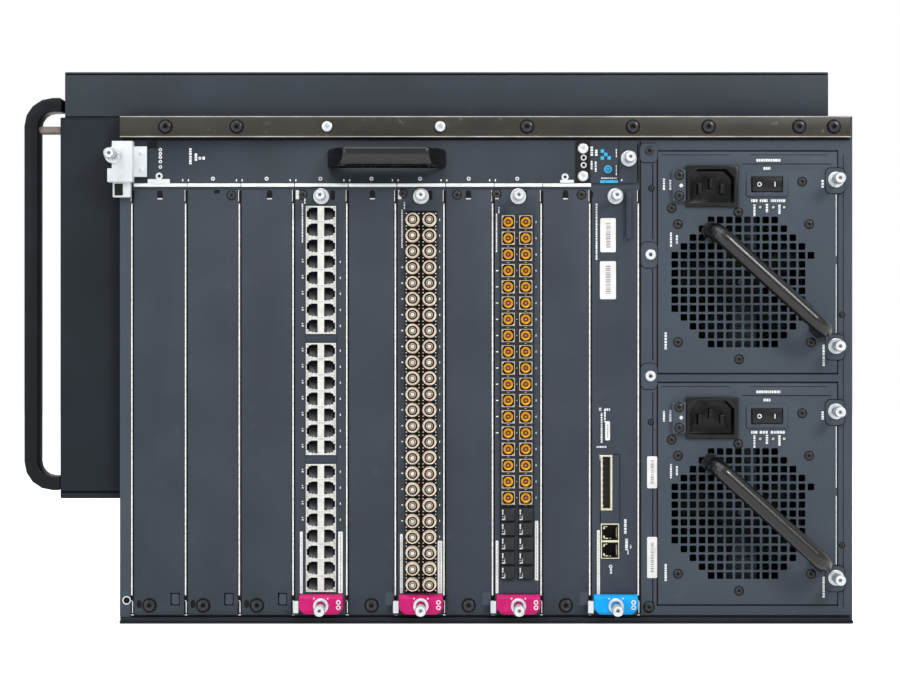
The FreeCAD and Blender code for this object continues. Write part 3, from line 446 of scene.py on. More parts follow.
def addButton(mesh, x, z, y, radius, rise, flat):
    addRound(mesh, x, z, [(0, y), (radius, y), (radius, y - rise * 0.35), (radius * 0.86, y - rise * 0.8),
                          (radius * 0.6, y - rise), (flat * 0.62, y - rise), (flat * 0.56, y - rise * 0.9),
                          (flat * 0.56, y - rise * 0.3), (0, y - rise * 0.15)], 24)
    makeSocket(mesh, x, z, flat * 0.56, flat)


def addBlackScrew(mesh, groove, x, z, y, radius, rise, flat):
    addButton(mesh, x, z, y, radius, rise, flat)
    # a dark ring round the head and a dark disc deep in the socket: painted shade
    addRound(groove, x, z, [(radius + 0.9, y + 0.05), (radius + 0.9, y - 0.08), (radius - 0.5, y - 0.08)], 24)
    addRound(groove, x, z, [(flat * 0.5, y - rise * 0.32), (0, y - rise * 0.32)], 12)


collars = {}
for node, body in bodyOf.items():
    if not node.endswith("_screw"):
        continue
    low, high = boxOf(node)
    x, z = (low.x + high.x) / 2, (low.z + high.z) / 2
    mesh = bmesh.new()
    addThumbScrew(mesh, x, z, high.y, low.y)
    finishPiece("turned_" + node, mesh, "bright_steel", body, [node])
    # a mid-grey disc deep in the hexagon socket: painted shade
    socket = bmesh.new()
    addRound(socket, x, z, [(1.3, low.y + 2.15), (1.3, low.y + 1.9), (0, low.y + 2.1)], 12)
    finishPiece("socket_" + node, socket, "contact_steel", body, slot="bright_steel")
    # its collar stays on the piece that it fastens
    owner = body.replace("_top_screw", "").replace("_low_screw", "")
    if node.endswith("card_low_screw"):
        owner += "_lever"
    if body.startswith("tray"):
        owner = "fan_tray"
    collars.setdefault(owner, []).append((x, z, high.y))
for owner, spots in collars.items():
    mesh = bmesh.new()
    for x, z, y in spots:
        if owner.endswith("_lever"):
            addCollar(mesh, x, z + 1.6, y, y - 2.2, 6.65, 4.2)
        else:
            addCollar(mesh, x, z, y, y - thumb["collarTall"], thumb["collarRadius"], 3.7)
    finishPiece("collars_" + owner, mesh, "bright_steel", owner)


def headsOf(node):
    # middle of each head in a node that holds several, and the depth it stands on
    source = copyNode(node)
    heads = []
    left = set(source.verts)
    while left:
        group = {left.pop()}
        fringe = list(group)
        while fringe:
            near = {e.other_vert(v) for v in fringe for e in v.link_edges} & left
            left -= near
            group |= near
            fringe = list(near)
        xs, ys, zs = zip(*(v.co for v in group))
        heads.append(((min(xs) + max(xs)) / 2, (min(zs) + max(zs)) / 2, max(ys)))
    source.free()
    return sorted(heads)


def makeButtons(node, radius, finish):
    mesh, groove = bmesh.new(), bmesh.new()
    heads = headsOf(node)
    for x, z, y in heads:
        if finish == "black_steel":
            addBlackScrew(mesh, groove, x, z, y, radius, button["rise"], button["socketFlat"])
        else:
            addButton(mesh, x, z, y, radius, button["rise"], button["socketFlat"])
            # dark ring round each silver head: painted shade
            addRing(groove, x, z, radius + 0.8, radius - 0.4, y + 0.05)
    finishPiece("turned_" + node, mesh, finish, "base", [node])
    finishPiece("grooves_" + node, groove, "socket_plastic", "base")
    print(node, len(heads))


makeButtons("black_screws", button["blackRadius"], "black_steel")
makeButtons("silver_screws", button["silverRadius"], "bright_steel")


# coaxial card: turned sockets with a bayonet barrel

coax = {"rows": 24, "pitch": 13.86, "column": 14.7, "firstRow": 7.4, "nutRadius": 6.2, "nutTall": 1.8,
        "barrelRadius": 5.3, "long": 11, "wall": 0.9, "coreRadius": 3.2, "lugRadius": 0.9, "rivetOut": 5.5}


def makeCoaxJacks():
    low, high = boxOf("coax_card_jacks")
    middle = (low.x + high.x) / 2
    shell, cups, cores, pins, base = (bmesh.new() for _ in range(5))
    # a black sheet behind the sockets in place of their square flanges: painted shade
    addBox(base, (low.x, 0.1, low.z), high, 0.3)
    r, nut, core = coax["barrelRadius"], coax["nutRadius"], coax["coreRadius"]
    inner = r - coax["wall"]
    end = -coax["long"]
    face = -coax["nutTall"]
    barrel = [(r - 0.6, 0.2), (nut, 0.2), (nut, face + 0.4), (nut - 0.5, face), (r - 0.5, face),
              (r - 0.5, end + 2.4), (r, end + 2), (r, end + 0.3), (r - 0.3, end), (inner + 0.2, end),
              (inner, end + 0.3), (inner, end + 2)]
    # a black cup inside each barrel: painted shade in the gap round the core
    cup = [(inner + 0.1, end + 1.2), (inner - 0.1, end + 1.3), (inner - 0.1, -1.2), (0, -1.1)]
    sleeve = [(core, -1), (core, end + 1.4), (core - 0.2, end + 1.1), (core - 0.8, end + 1.1),
              (core - 0.9, end + 1.5), (core - 0.9, end + 5), (1.4, end + 5.2)]
    pin = [(1.6, -1), (1.6, end + 0.6), (1.4, end + 0.4), (0.5, end + 0.4), (0.45, end + 2.6), (0, end + 2.7)]
    rivet = [(0.6, 0.2), (0.6, -0.5), (0, -0.7)]
    for row in range(coax["rows"]):
        z = low.z + coax["firstRow"] + row * coax["pitch"]
        for side in (-1, 1):
            x = middle + side * coax["column"] / 2
            addRound(shell, x, z, barrel, 24)
            addRound(cups, x, z, cup, 20)
            # rivets at the corners of its square flange
            for dx, dz in ((-1, -1), (-1, 1), (1, -1), (1, 1)):
                addRound(shell, x + dx * coax["rivetOut"], z + dz * coax["rivetOut"], rivet, 8)
            for way in (-1, 1):
                lug = (Matrix.Translation((x + way * (r + 0.1), end + 4, z))
                       @ Matrix.Rotation(math.pi / 2, 4, "Y"))
                bmesh.ops.create_cone(shell, cap_ends=True, segments=10, radius1=coax["lugRadius"],
                                      radius2=coax["lugRadius"], depth=1.4, matrix=lug)
            addRound(cores, x, z, sleeve, 20)
            addRound(pins, x, z, pin, 14)
    finishPiece("coax_barrels", shell, "nickel", "coax_card", ["coax_card_jacks"])
    finishPiece("coax_cups", cups, "socket_plastic", "coax_card")
    finishPiece("coax_cores", cores, "bronze", "coax_card", slot="nickel")
    finishPiece("coax_pins", pins, "gasket_steel", "coax_card", slot="nickel")
    finishPiece("coax_base", base, "socket_plastic", "coax_card")


makeCoaxJacks()
print("coaxial card")


# round-port card: square wells with a gold ring, and rubber caps below

port = {"rows": 18, "pitch": 14.19, "column": 15.3, "square": 11.4, "rail": 0.5, "proud": 4,
        "discRadius": 4.3, "wedge": 1.7, "caps": 5, "capPitch": 12.7, "capWide": 11.6, "capTall": 11.4,
        "capProud": 5}


def makePortFrame():
    # four rails round a square well, with a wedge in each corner
    half = port["square"] / 2
    whole = bmesh.new()
    for turn in range(4):
        quarter = bmesh.new()
        addBox(quarter, (-half, -port["proud"], half - port["rail"]), (half - port["rail"], 0.1, half), 0.15)
        reach = half - 0.6
        short = reach - port["wedge"]
        addPrism(quarter, [(reach, reach), (reach, short), (short, reach)], 0.1,
                 -port["proud"] + (0.5 if turn % 2 else 2.4))
        quarter.transform(Matrix.Rotation(turn * math.pi / 2, 4, "Y"))
        part = bpy.data.meshes.new("quarter")
        quarter.to_mesh(part)
        whole.from_mesh(part)
    template = bpy.data.meshes.new("port_frame")
    whole.to_mesh(template)
    return template


def makePorts():
    low, high = boxOf("port_card_jacks")
    middle = (low.x + high.x) / 2
    half = port["square"] / 2
    firstCap = low.z + port["capTall"] / 2
    firstPort = high.z - half - (port["rows"] - 1) * port["pitch"]
    frames, wells, gold, beads, caps, capShadows, pulls, base = (bmesh.new() for _ in range(8))
    addBox(base, (low.x, 0.1, low.z), high, 0.3)
    rim = makePortFrame()
    r = port["discRadius"]
    disc = [(r, -0.7), (r, -3), (r - 0.3, -3.4), (r - 0.8, -3.4), (r - 1.1, -3), (2.3, -2.4)]
    centre = [(0.75, -1.3), (0.75, -2.6), (0, -2.8)]
    bead = [(2.4, -0.9), (2.4, -2.4), (2.1, -2.7), (1.1, -2.7), (0.95, -1.4), (0, -1.3)]
    wide, tall = port["capWide"] / 2, port["capTall"] / 2
    cap = -port["capProud"]
    for side in (-1, 1):
        x = middle + side * port["column"] / 2
        for row in range(port["rows"]):
            z = firstPort + row * port["pitch"]
            stamp(frames, rim, x, z)
            well = half - 0.5
            addBox(wells, (x - well, -0.8, z - well), (x + well, 0.2, z + well))
            addRound(gold, x, z, disc, 24)
            addRound(gold, x, z, centre, 12)
            addRound(beads, x, z, bead, 16)
        for row in range(port["caps"]):
            z = firstCap + row * port["capPitch"]
            addBox(caps, (x - wide, cap + 1.6, z - tall), (x + wide, 0.1, z + tall), 0.7)
            addBox(caps, (x - wide + 3.2, cap, z - tall + 0.5), (x + wide - 0.4, -1, z + tall - 0.5), 0.8)
            # a black plate in the gap to the next cap: painted shade
            addBox(capShadows, (x - wide - 0.3, cap + 2.6, z + tall - 0.1),
                   (x + wide + 0.3, 0.1, z + port["capPitch"] - tall + 0.1))
            # pull tab at the left of each cap, its moulded marks picked out
            addBox(caps, (x - wide + 0.4, cap + 0.7, z - 1.6), (x - wide + 2.6, -1, z + 1.6), 0.3)
            for k, reach in enumerate((2.2, 1.4, 2.4, 1.4)):
                addDash(pulls, x - wide + 0.3, z - tall + 0.9 + k * 2.6, reach, 1, cap + 1.6)
            addDash(pulls, x - wide + 0.5, z - tall + 5.6, 0.9, 4.4, cap + 0.7)
            addDash(pulls, x - wide + 2.3, z - tall + 0.9, 0.8, 4.6, cap + 1.4)
    finishPiece("port_frames", frames, "cream_plastic", "port_card", ["port_card_jacks"],
                slot="white_plastic")
    finishPiece("port_wells", wells, "socket_plastic", "port_card")
    finishPiece("port_rings", gold, "gold_plate", "port_card", slot="nickel")
    finishPiece("port_beads", beads, "red_bead", "port_card", slot="socket_plastic")
    finishPiece("port_caps", caps, "cap_rubber", "port_card", slot="socket_plastic")
    finishPiece("port_cap_gaps", capShadows, "socket_plastic", "port_card")
    finishPiece("port_cap_pulls", pulls, "white_plastic", "port_card", slot="white_plastic")
    finishPiece("port_base", base, "panel_paint", "port_card", slot="socket_plastic")


makePorts()
print("round-port card")


# copper card: network jacks in drawn shells

copper = {"pitch": 14, "column": 15.3, "wide": 9.6, "tall": 11.3, "deep": 11, "wires": 6,
          "wirePitch": 1.15, "blocks": (8, 7, 8), "gap": 7.8}


def rowHeights():
    z = boxOf("copper_card_jacks")[0].z
    for count in copper["blocks"]:
        for _ in range(count):
            yield z + copper["pitch"] / 2
            z += copper["pitch"]
        z += copper["gap"]


def addRamp(mesh, x, z, wide, tall, front, back, thick):
    # sloping plate, low edge forward
    slope = math.atan2(back - front, tall)
    place = Matrix.Translation((x, (front + back) / 2, z)) @ Matrix.Rotation(-slope, 4, "X")
    size = Matrix.Diagonal((wide, thick, math.hypot(tall, back - front), 1))
    bmesh.ops.create_cube(mesh, size=1, matrix=place @ size)


def addJack(shell, liner, ramps, wires, x, z, side, wide, tall, front, back):
    # one network jack: stepped mouth on its outer side, dark walls, a ramp and its spring contacts
    for reach, half in ((1.5, 2.9), (3.5, 4.8)):
        for way in (-1, 1):
            z0, z1 = sorted((z + way * half, z + way * (tall + 0.1)))
            x0, x1 = sorted((x + side * (wide + 0.1), x + side * (wide - reach)))
            addBox(shell, (x0, front + 0.1, z0), (x1, front + 2, z1), 0.1)
    # two small teeth under the plug
    for reach in (3.9, 6.2):
        at = x + side * (wide - reach)
        addBox(shell, (at - 0.4, front + 0.1, z - tall - 0.1), (at + 0.4, front + 2, z - tall + 0.9), 0.1)
    for x0 in (x - wide + 0.02, x + wide - 0.5):
        addBox(liner, (x0, front + 1.1, z - tall + 0.02), (x0 + 0.48, back, z + tall - 0.02))
    for z0 in (z - tall + 0.02, z + tall - 0.5):
        addBox(liner, (x - wide + 0.02, front + 1.1, z0), (x + wide - 0.02, back, z0 + 0.48))
    addBox(liner, (x - wide + 0.02, back - 0.4, z - tall + 0.02), (x + wide - 0.02, back, z + tall - 0.02))
    if ramps is None:
        return
    addRamp(ramps, x - side * 0.7, z - tall * 0.25, wide * 1.5, tall * 1.35, front + 2.2, back - 0.8, 0.4)
    for k in range(copper["wires"]):
        across = x - side * 0.7 + (k - (copper["wires"] - 1) / 2) * copper["wirePitch"]
        addRamp(wires, across, z - tall * 0.27, 0.42, tall * 1.2, front + 1.9, back - 1.3, 0.3)


def makeCopperJacks():
    low, high = boxOf("copper_card_jacks")
    middle = (low.x + high.x) / 2
    dress("copper_card_jacks", "jack_shell", 0.25)
    shell, liner, ramps, wires = (bmesh.new() for _ in range(4))
    back = low.y + copper["deep"] - 0.1
    for z in rowHeights():
        for side in (-1, 1):
            addJack(shell, liner, ramps, wires, middle + side * copper["column"] / 2, z, side,
                    copper["wide"] / 2, copper["tall"] / 2, low.y, back)
        # joint between one jack's shell and the next
        addBox(liner, (low.x + 0.3, low.y - 0.02, z + copper["pitch"] / 2 - 0.1),
               (high.x - 0.3, low.y + 0.1, z + copper["pitch"] / 2 + 0.1))
    # painted bridges between the three blocks
    bridges = bmesh.new()
    heights = list(rowHeights())
    for z0, z1 in zip(heights, heights[1:]):
        if z1 - z0 > copper["pitch"] + 1:
            addBox(bridges, (low.x - 0.1, -0.1, z0 + copper["pitch"] / 2 + 0.3),
                   (high.x + 0.1, 0.4, z1 - copper["pitch"] / 2 - 0.3), 0.1)
    finishPiece("copper_mouths", shell, "jack_shell", "copper_card")
    finishPiece("copper_liners", liner, "socket_plastic", "copper_card")
    finishPiece("copper_ramps", ramps, "contact_steel", "copper_card", slot="jack_shell")
    finishPiece("copper_contacts", wires, "contact_steel", "copper_card", slot="nickel")
    finishPiece("copper_bridges", bridges, "panel_paint", "copper_card")


makeCopperJacks()
print("copper card")


# control card: two service jacks and a drive slot

control = {"servicePitch": 15.4, "wall": 2, "driveRim": 1.5, "driveWide": 10, "driveTall": 48.3}


def makeControlJacks():
    low, high = boxOf("control_card_jacks")
    dress("control_card_jacks", "service_shell", 0.3, slot="jack_shell")
    shell, liner, wires, slot, cover = (bmesh.new() for _ in range(5))
    back = low.y + copper["deep"] - 0.1
    wall = control["wall"]
    for row in (0, 1):
        middle = low.z + (row + 0.5) * control["servicePitch"]
        addJack(shell, liner, None, wires, (low.x + high.x) / 2, middle, -1,
                (high.x - low.x) / 2 - wall, control["servicePitch"] / 2 - wall, low.y, back)
        # painted shade: dark strips on the front round each mouth, leaving a thin bright rim
        left, right = low.x + 0.9, high.x - 0.9
        for x0, x1, z0, z1 in ((left, low.x + wall, -6.8, 6.8), (high.x - wall, right, -6.8, 6.8),
                               (left, right, 5.6, 6.8), (left, right, -6.8, -5.6)):
            addBox(liner, (x0, low.y - 0.06, middle + z0), (x1, low.y + 0.1, middle + z1))
        for k in range(8):
            z = middle + (k - 3.5) * 1.1
            addBox(wires, (high.x - wall - 0.7, low.y + 0.6, z - 0.2),
                   (high.x - wall + 0.1, low.y + 3, z + 0.2))
    rim = control["driveRim"]
    top = high.z - rim
    bottom = high.z - control["driveTall"] + rim
    left = low.x + rim
    right = low.x + control["driveWide"] - rim
    addBox(slot, (left, back - 1.5, bottom), (right, back, top))
    for k in range(9):
        z = bottom + 3 + k * 5
        addBox(slot, (left, low.y + 4, z), (left + 1.6, back, z + 1.4), 0.2)
        addBox(wires, (left + 0.2, low.y + 5, z - 1.6), (left + 0.9, back - 1, z - 0.4), 0.1)
    # painted sheet round the drive slot
    serviceTop = low.z + 2 * control["servicePitch"]
    addBox(cover, (right + rim, low.y - 0.06, serviceTop + 0.1), (high.x + 0.05, 0.1, high.z + 0.05))
    addBox(cover, (low.x - 0.05, low.y - 0.06, serviceTop + 0.1), (right + rim + 0.1, 0.1, bottom - rim))
    finishPiece("control_mouths", shell, "service_shell", "control_card", slot="jack_shell")
    finishPiece("control_liners", liner, "socket_plastic", "control_card")
    finishPiece("control_contacts", wires, "nickel", "control_card")
    finishPiece("drive_slot_walls", slot, "black_plastic", "control_card")
    finishPiece("drive_slot_cover", cover, "panel_paint", "control_card")


makeControlJacks()
print("control card")


# marks on the levers and the bright faces of their hinge blocks

for card in ("copper", "coax", "port", "control"):
    node = f"{card}_card_lever"
    low, high = boxOf(node)
    dress(node, "blue_plastic" if card == "control" else "pink_plastic", 0.9, 3)
    mesh = bmesh.new()
    # two small links side by side, the same on every lever
    for k in range(2):
        z = low.z + 4.6 + k * 4.6
        x = high.x - 5.6
        addRing(mesh, x + 1.7, z + 1.8, 2, 1.1, low.y + 0.1, 0.22)
    addBox(mesh, (high.x - 4.3, low.y - 0.12, low.z + 7.8), (high.x - 3.5, low.y + 0.1, low.z + 9.6))
    for k in range(2):
        dot = [(0.7, low.y + 0.1), (0.7, low.y - 0.12), (0, low.y - 0.12)]
        addRound(mesh, (low.x + high.x) / 2 - 6 + k * 12, high.z - 3, dot, 12)
    finishPiece("marks_" + node, mesh, "white_print", bodyOf[node], slot="white_plastic")
    # bright face of the hinge block on the panel
    face = bmesh.new()
    addPlate(face, low.x - 5.05, low.z + 1.6, 4.7, 10.6, -8.6, -8.75, 0.4)
    finishPiece(f"{card}_hinge_face", face, "white_plastic", f"{card}_card")
print("levers")


# power supplies: bow handle and grille

supply = {"hole": 6, "holeRound": 1.2, "sheet": 2, "bowAngle": 42.2, "bowThick": 15, "bowFoot": 18,
          "bowBend": 13}


def sweep(mesh, radius, path, steps=20):
    # round bar along a line of points, its ends closed
    points = [Vector(p) for p in path]
    flow = [(after - before).normalized()
            for before, after in zip(points[:1] + points[:-1], points[1:] + points[-1:])]
    ring = bmesh.ops.create_circle(mesh, cap_ends=True, segments=steps, radius=radius)["verts"]
    turn = Vector((0, 0, 1)).rotation_difference(flow[0])
    bmesh.ops.transform(mesh, verts=ring, matrix=Matrix.Translation(points[0]) @ turn.to_matrix().to_4x4())
    face = ring[0].link_faces[0]
    for k in range(1, len(points)):
        extruded = bmesh.ops.extrude_face_region(mesh, geom=[face])["geom"]
        ring = [v for v in extruded if isinstance(v, bmesh.types.BMVert)]
        face = [f for f in extruded if isinstance(f, bmesh.types.BMFace)][0]
        turn = flow[k - 1].rotation_difference(flow[k]).to_matrix().to_4x4()
        move = Matrix.Translation(points[k]) @ turn @ Matrix.Translation(-points[k - 1])
        bmesh.ops.transform(mesh, verts=ring, matrix=move)


def makeBow(number):
    # moulded bow: two feet, two short posts, two tight bends and a long straight grip
    node = f"psu_{number}_handle"
    low, high = boxOf(node)
    slant = math.radians(supply["bowAngle"])
    half = supply["bowThick"] / 2
    across = supply["bowFoot"] * math.cos(slant) + supply["bowThick"] * math.sin(slant)
    span = (high.x - low.x - across) / math.cos(slant)
    middle = (low + high) / 2
    rise = high.y - low.y - half
    bend = supply["bowBend"]
    path = [(-span / 2, 0, 0)]
    for k in range(9):
        a = k * math.pi / 16
        path.append((-span / 2 + bend - bend * math.cos(a), -rise + bend - bend * math.sin(a), 0))
    path += [(-x, y, z) for x, y, z in path[::-1]]
    grip, feet = bmesh.new(), bmesh.new()
    sweep(grip, half, path, 28)
    foot = supply["bowFoot"]
    for side in (-1, 1):
        addPlate(feet, side * span / 2 - foot / 2, -half, foot, 2 * half, 0, -3, 5, 6)
    place = Matrix.Translation((middle.x, 0, middle.z)) @ Matrix.Rotation(slant, 4, "Y")
    for mesh, name, nodes in ((grip, "bow_", [node]), (feet, "feet_", [])):
        mesh.transform(place)
        finishPiece(name + node, mesh, "bow_plastic", f"psu_{number}", nodes, slot="black_plastic", sharp=50)


def holeSpots(mesh, low, high):
    # corners of the square holes, found from the edges that run through the face sheet
    spots = set()
    for e in mesh.edges:
        a, b = e.verts[0].co, e.verts[1].co
        inside = low.x + 8 < a.x < high.x - 18 and low.z + 12 < a.z < low.z + 142
        straight = abs(a.x - b.x) + abs(a.z - b.z) < 0.01 and 1 < abs(a.y - b.y) < 2.1
        if inside and straight and max(a.y, b.y) < 4:
            spots.add((round(a.x, 1), round(a.z, 1)))
    return spots


def addFillets(mesh, corners):
    # rounds the corners of the grille's holes: one template of four wedges, copied into each hole
    firsts = [(x, z) for x, z in sorted(corners) if (round(x + supply["hole"], 1), z) in corners
              and (x, round(z + supply["hole"], 1)) in corners]
    r = supply["holeRound"]
    half = supply["hole"] / 2
    arc = [(half - r + r * math.sin(k * math.pi / 6), half - r + r * math.cos(k * math.pi / 6))
           for k in range(4)]
    whole = bmesh.new()
    for turn in range(4):
        quarter = bmesh.new()
        addPrism(quarter, [(half + 0.05, half + 0.05)] + arc, supply["sheet"], 0.01)
        quarter.transform(Matrix.Rotation(turn * math.pi / 2, 4, "Y"))
        part = bpy.data.meshes.new("wedge")
        quarter.to_mesh(part)
        whole.from_mesh(part)
    template = bpy.data.meshes.new("wedges")
    whole.to_mesh(template)
    for x, z in firsts:
        stamp(mesh, template, x + half, z + half)


def makeSupply(number):
    case = f"psu_{number}_case"
    low, high = boxOf(case)
    mesh = copyNode(case)
    outer = [e for e in sharpEdges(mesh, 60) if e.calc_length() > 9.5]
    soften(mesh, outer, 0.4)
    addFillets(mesh, holeSpots(mesh, low, high))
    finishPiece("dressed_" + case, mesh, "dark_paint", f"psu_{number}", [case])
    makeBow(number)
    dress(f"psu_{number}_inlet", "black_plastic", 0.7)
    dress(f"psu_{number}_rocker", "switch_plastic", 0.7)
    dress(f"psu_{number}_fan", "fan_plastic", 0.8)


for number in (1, 2):
    makeSupply(number)
print("power supplies")


# spring gasket strips between the slots

gasket = {"stripLeft": -1, "stripRight": 0.15, "low": 24.5, "high": 367.5, "finger": 6, "gap": 0.25,
          "sealLow": 381.85, "sealTall": 2.9}


def slotEdges():
    # middles of the gaps between neighbouring panels
    names = ["blank_1", "blank_2", "blank_3", "copper_card_panel", "blank_5", "coax_card_panel", "blank_7",
             "port_card_panel", "blank_9", "control_card_panel"]
    boxes = [boxOf(name) for name in names]
    seam = boxes[1][0].x - boxes[0][1].x
    return [boxes[0][0].x - seam / 2] + [high.x + seam / 2 for low, high in boxes]


edges = slotEdges()
middles = [(a + b) / 2 for a, b in zip(edges, edges[1:])]


def makeGaskets():
    low, high = boxOf("slot_gaskets")
    gapShadow, fingers = bmesh.new(), bmesh.new()
    for edge in edges:
        # black boxes down each seam beside the strip: painted shade of the gap
        addBox(gapShadow, (edge - 1.3, 1.3, low.z), (edge + 1.3, 2, high.z - 6))
        addBox(gapShadow, (edge + 0.15, 0.5, low.z), (edge + 1.3, 1.4, high.z - 6))
        z = gasket["low"]
        while z < gasket["high"] - gasket["gap"]:
            top = min(z + gasket["finger"], gasket["high"]) - gasket["gap"]
            addBox(fingers, (edge + gasket["stripLeft"], -0.1, z),
                   (edge + gasket["stripRight"], 1.4, top))
            z += gasket["finger"]
        # bare ends of each strip, set back above and below
        addBox(fingers, (edge - 1.3, 0.6, gasket["high"] + 1.5), (edge - 0.8, 1.4, 379))
        addBox(fingers, (edge - 0.2, 0.4, 9), (edge + 0.5, 1.4, 20))
        addBox(fingers, (edge - 1, 0.4, 19.2), (edge + 0.5, 1.4, 20))
        addBox(fingers, (edge - 1.2, 0.2, low.z), (edge + 1.2, 1.4, low.z + 0.7))
    for left, right in zip(edges[:-2], edges[1:-1]):
        addBox(fingers, (left + 1.3, low.y, gasket["sealLow"]),
               (right + 0.7, 2, gasket["sealLow"] + gasket["sealTall"]), 0.3)
    finishPiece("gasket_channels", gapShadow, "socket_plastic", "base", ["slot_gaskets"], slot="gasket_steel")
    finishPiece("gasket_fingers", fingers, "gasket_steel", "base")


makeGaskets()
print("gaskets")


# screws, slits and marks on the slot panels

def topLeft(node):
    low, high = boxOf(node)
    return low.x, high.z


# from each panel's left edge and down from its top edge
panelFit = {
    "topScrews": {"copper_card_panel": (8, 4.1), "coax_card_panel": (8.2, 2.9), "port_card_panel": (5.5, 3.6),
                  "blank_2": (38.2, 4.6), "blank_7": (9.5, 4.1), "blank_9": (33.4, 4.1)},
    "slits": {"copper_card_panel": 34.3, "coax_card_panel": 32.3, "port_card_panel": 30},
    "eyes": {"blank_1": 22.6, "blank_3": 24.5, "blank_5": 20.5, "blank_7": 19.5, "blank_9": 19.4},
    "screwRadius": 3.5,
}


def makePanelDetails():
    dark, black, bright = {}, {}, {}
    for node, (x, drop) in panelFit["topScrews"].items():
        left, top = topLeft(node)
        mesh = black.setdefault(bodyOf[node], bmesh.new())
        groove = dark.setdefault(bodyOf[node], bmesh.new())
        addBlackScrew(mesh, groove, left + x, top - drop, 0, panelFit["screwRadius"], 0.9, 2.4)
    # slits, eyes and holes are not cut: flat dark plates on the face stand for them as painted shade
    for node, x in panelFit["slits"].items():
        left, top = topLeft(node)
        mesh = dark.setdefault(bodyOf[node], bmesh.new())
        addPlate(mesh, left + x - 2, top - 8.6, 4, 8.2, 0.05, -0.06, 1.2)
    for node, x in panelFit["eyes"].items():
        left, top = topLeft(node)
        mesh = dark.setdefault("base", bmesh.new())
        addPlate(mesh, left + x - 2.5, top - 8.6, 5, 8.4, 0.05, -0.06, 2.4, 5)
        mesh = bright.setdefault("base", bmesh.new())
        addPlate(mesh, left + x - 2.2, top - 8.2, 4.4, 1.1, 0, -0.12, 0.5)
    left, top = topLeft("blank_2")
    addPlate(dark["base"], left + 23, top - 3, 5, 3, 0.05, -0.06, 0.3)
    left, top = topLeft("control_card_panel")
    addPlate(dark.setdefault("control_card", bmesh.new()), left + 2, top - 6.4, 3, 5.2, 0.05, -0.06, 1.4)
    # lower ends of the blank covers: a rounded tab in each notch, and in the wide ones an oval hole drawn as
    # a dark plate of painted shade
    tabs = bmesh.new()
    for node in ("blank_1", "blank_2", "blank_3"):
        low, high = boxOf(node)
        addPlate(tabs, high.x - 11.2, low.z + 9.3, 6.6, 9.4, 2.6, 1.3, 1.4, 4)
        addPlate(dark["base"], low.x + 2.4, low.z + 6.4, 4.2, 7, 0.05, -0.06, 2, 5)
    for node in ("blank_5", "blank_7", "blank_9"):
        low, high = boxOf(node)
        addPlate(tabs, high.x - 7.6, low.z + 9, 7.4, 11, 0.05, -0.3, 1.2, 4)
    finishPiece("notch_tabs", tabs, "dark_paint", "base")
    for body, mesh in dark.items():
        finishPiece("slits_" + body, mesh, "socket_plastic", body)
    # bright end of the bracket beside each card's top screw
    for card, edge in (("copper", edges[3]), ("coax", edges[5]), ("port", edges[7])):
        mesh = bright.setdefault(card + "_card", bmesh.new())
        addPlate(mesh, edge + 2, 371, 2.9, 7.8, 0.05, -0.25, 0.5)
    for body, mesh in black.items():
        finishPiece("top_screws_" + body, mesh, "black_steel", body)
    for body, mesh in bright.items():
        finishPiece("eyes_" + body, mesh, "bright_steel", body)


makePanelDetails()


def makeCardMarks():
    for card, leftOut, rightOut in (("copper", 3.6, None), ("coax", 3.4, 2.2), ("port", 4.2, 2.2)):
        low, high = boxOf(f"{card}_card_jacks")
        rows = list(rowHeights())
        if card == "coax":
            rows = [low.z + coax["firstRow"] + k * coax["pitch"] for k in range(coax["rows"])]
        if card == "port":
            first = high.z - port["square"] / 2 - (port["rows"] - 1) * port["pitch"]
            rows = [first + k * port["pitch"] for k in range(port["rows"])]
        marks = bmesh.new()
        for k, z in enumerate(rows):
            if 4 <= k < len(rows) - 3:
                addDash(marks, low.x - leftOut, z - 0.4, 1.6 if card != "port" else 2.2, 0.9)
                if card == "copper":
                    addDash(marks, low.x - leftOut, z + 1.6, 1.2, 0.9)
                    addDash(marks, high.x + 3.4, z - 0.8, 0.8, 1.8)
            if rightOut:
                addDash(marks, high.x + rightOut, z - 0.8, 0.7, 1.6)
            if card == "port":
                middle = (low.x + high.x) / 2
                addDash(marks, middle - 0.5, z - 0.4, 0.8, 0.9, 0.1)
                for side in (-1, 1):
                    x = middle + side * port["column"] / 2
                    addDash(marks, x - 1, z - port["pitch"] / 2 - 0.3, 2, 0.7, 0.1)
        top = high.z
        addWord(marks, low.x - leftOut, top - 32, 1.1, 34)
        addWord(marks, low.x - leftOut + 2.2, top + 2, 0.9, 6)
        finishPiece(f"marks_{card}_card", marks, "white_print", f"{card}_card", slot="white_plastic")


# x, z, width and height of the cards' paper strips, labels and printed words
cardPrint = {
    "strips": {"copper_card": [(157.5, 26.2, 2.4, 54), (191, 26.2, 3.9, 54)],
               "coax_card": [(245, 26.2, 2.4, 52), (278, 26.2, 4, 46)],
               "port_card": [(328.7, 26.2, 2.4, 46), (363, 37.6, 3, 52)],
               "control_card": [(417.3, 24.5, 2.6, 57)]},
    "labels": [(420.2, 324.6, 13.6, 29.8), (419.9, 283.5, 14, 33.2), (424.5, 160, 4.2, 16.8)],
    "words": [(416.2, 318, 1.4, 50), (419, 186, 2.2, 3), (424.6, 186, 4, 2), (420.6, 158, 1.5, 26),
              (423.6, 176, 1.3, 12), (417, 153.6, 8.5, 1.4), (419.6, 143, 1.6, 5), (435, 119.5, 1.1, 8),
              (441, 78.5, 2.2, 12.5), (442, 64, 2.4, 10), (446.3, 65.5, 1, 3.2), (444, 60.4, 1, 3.4)],
}


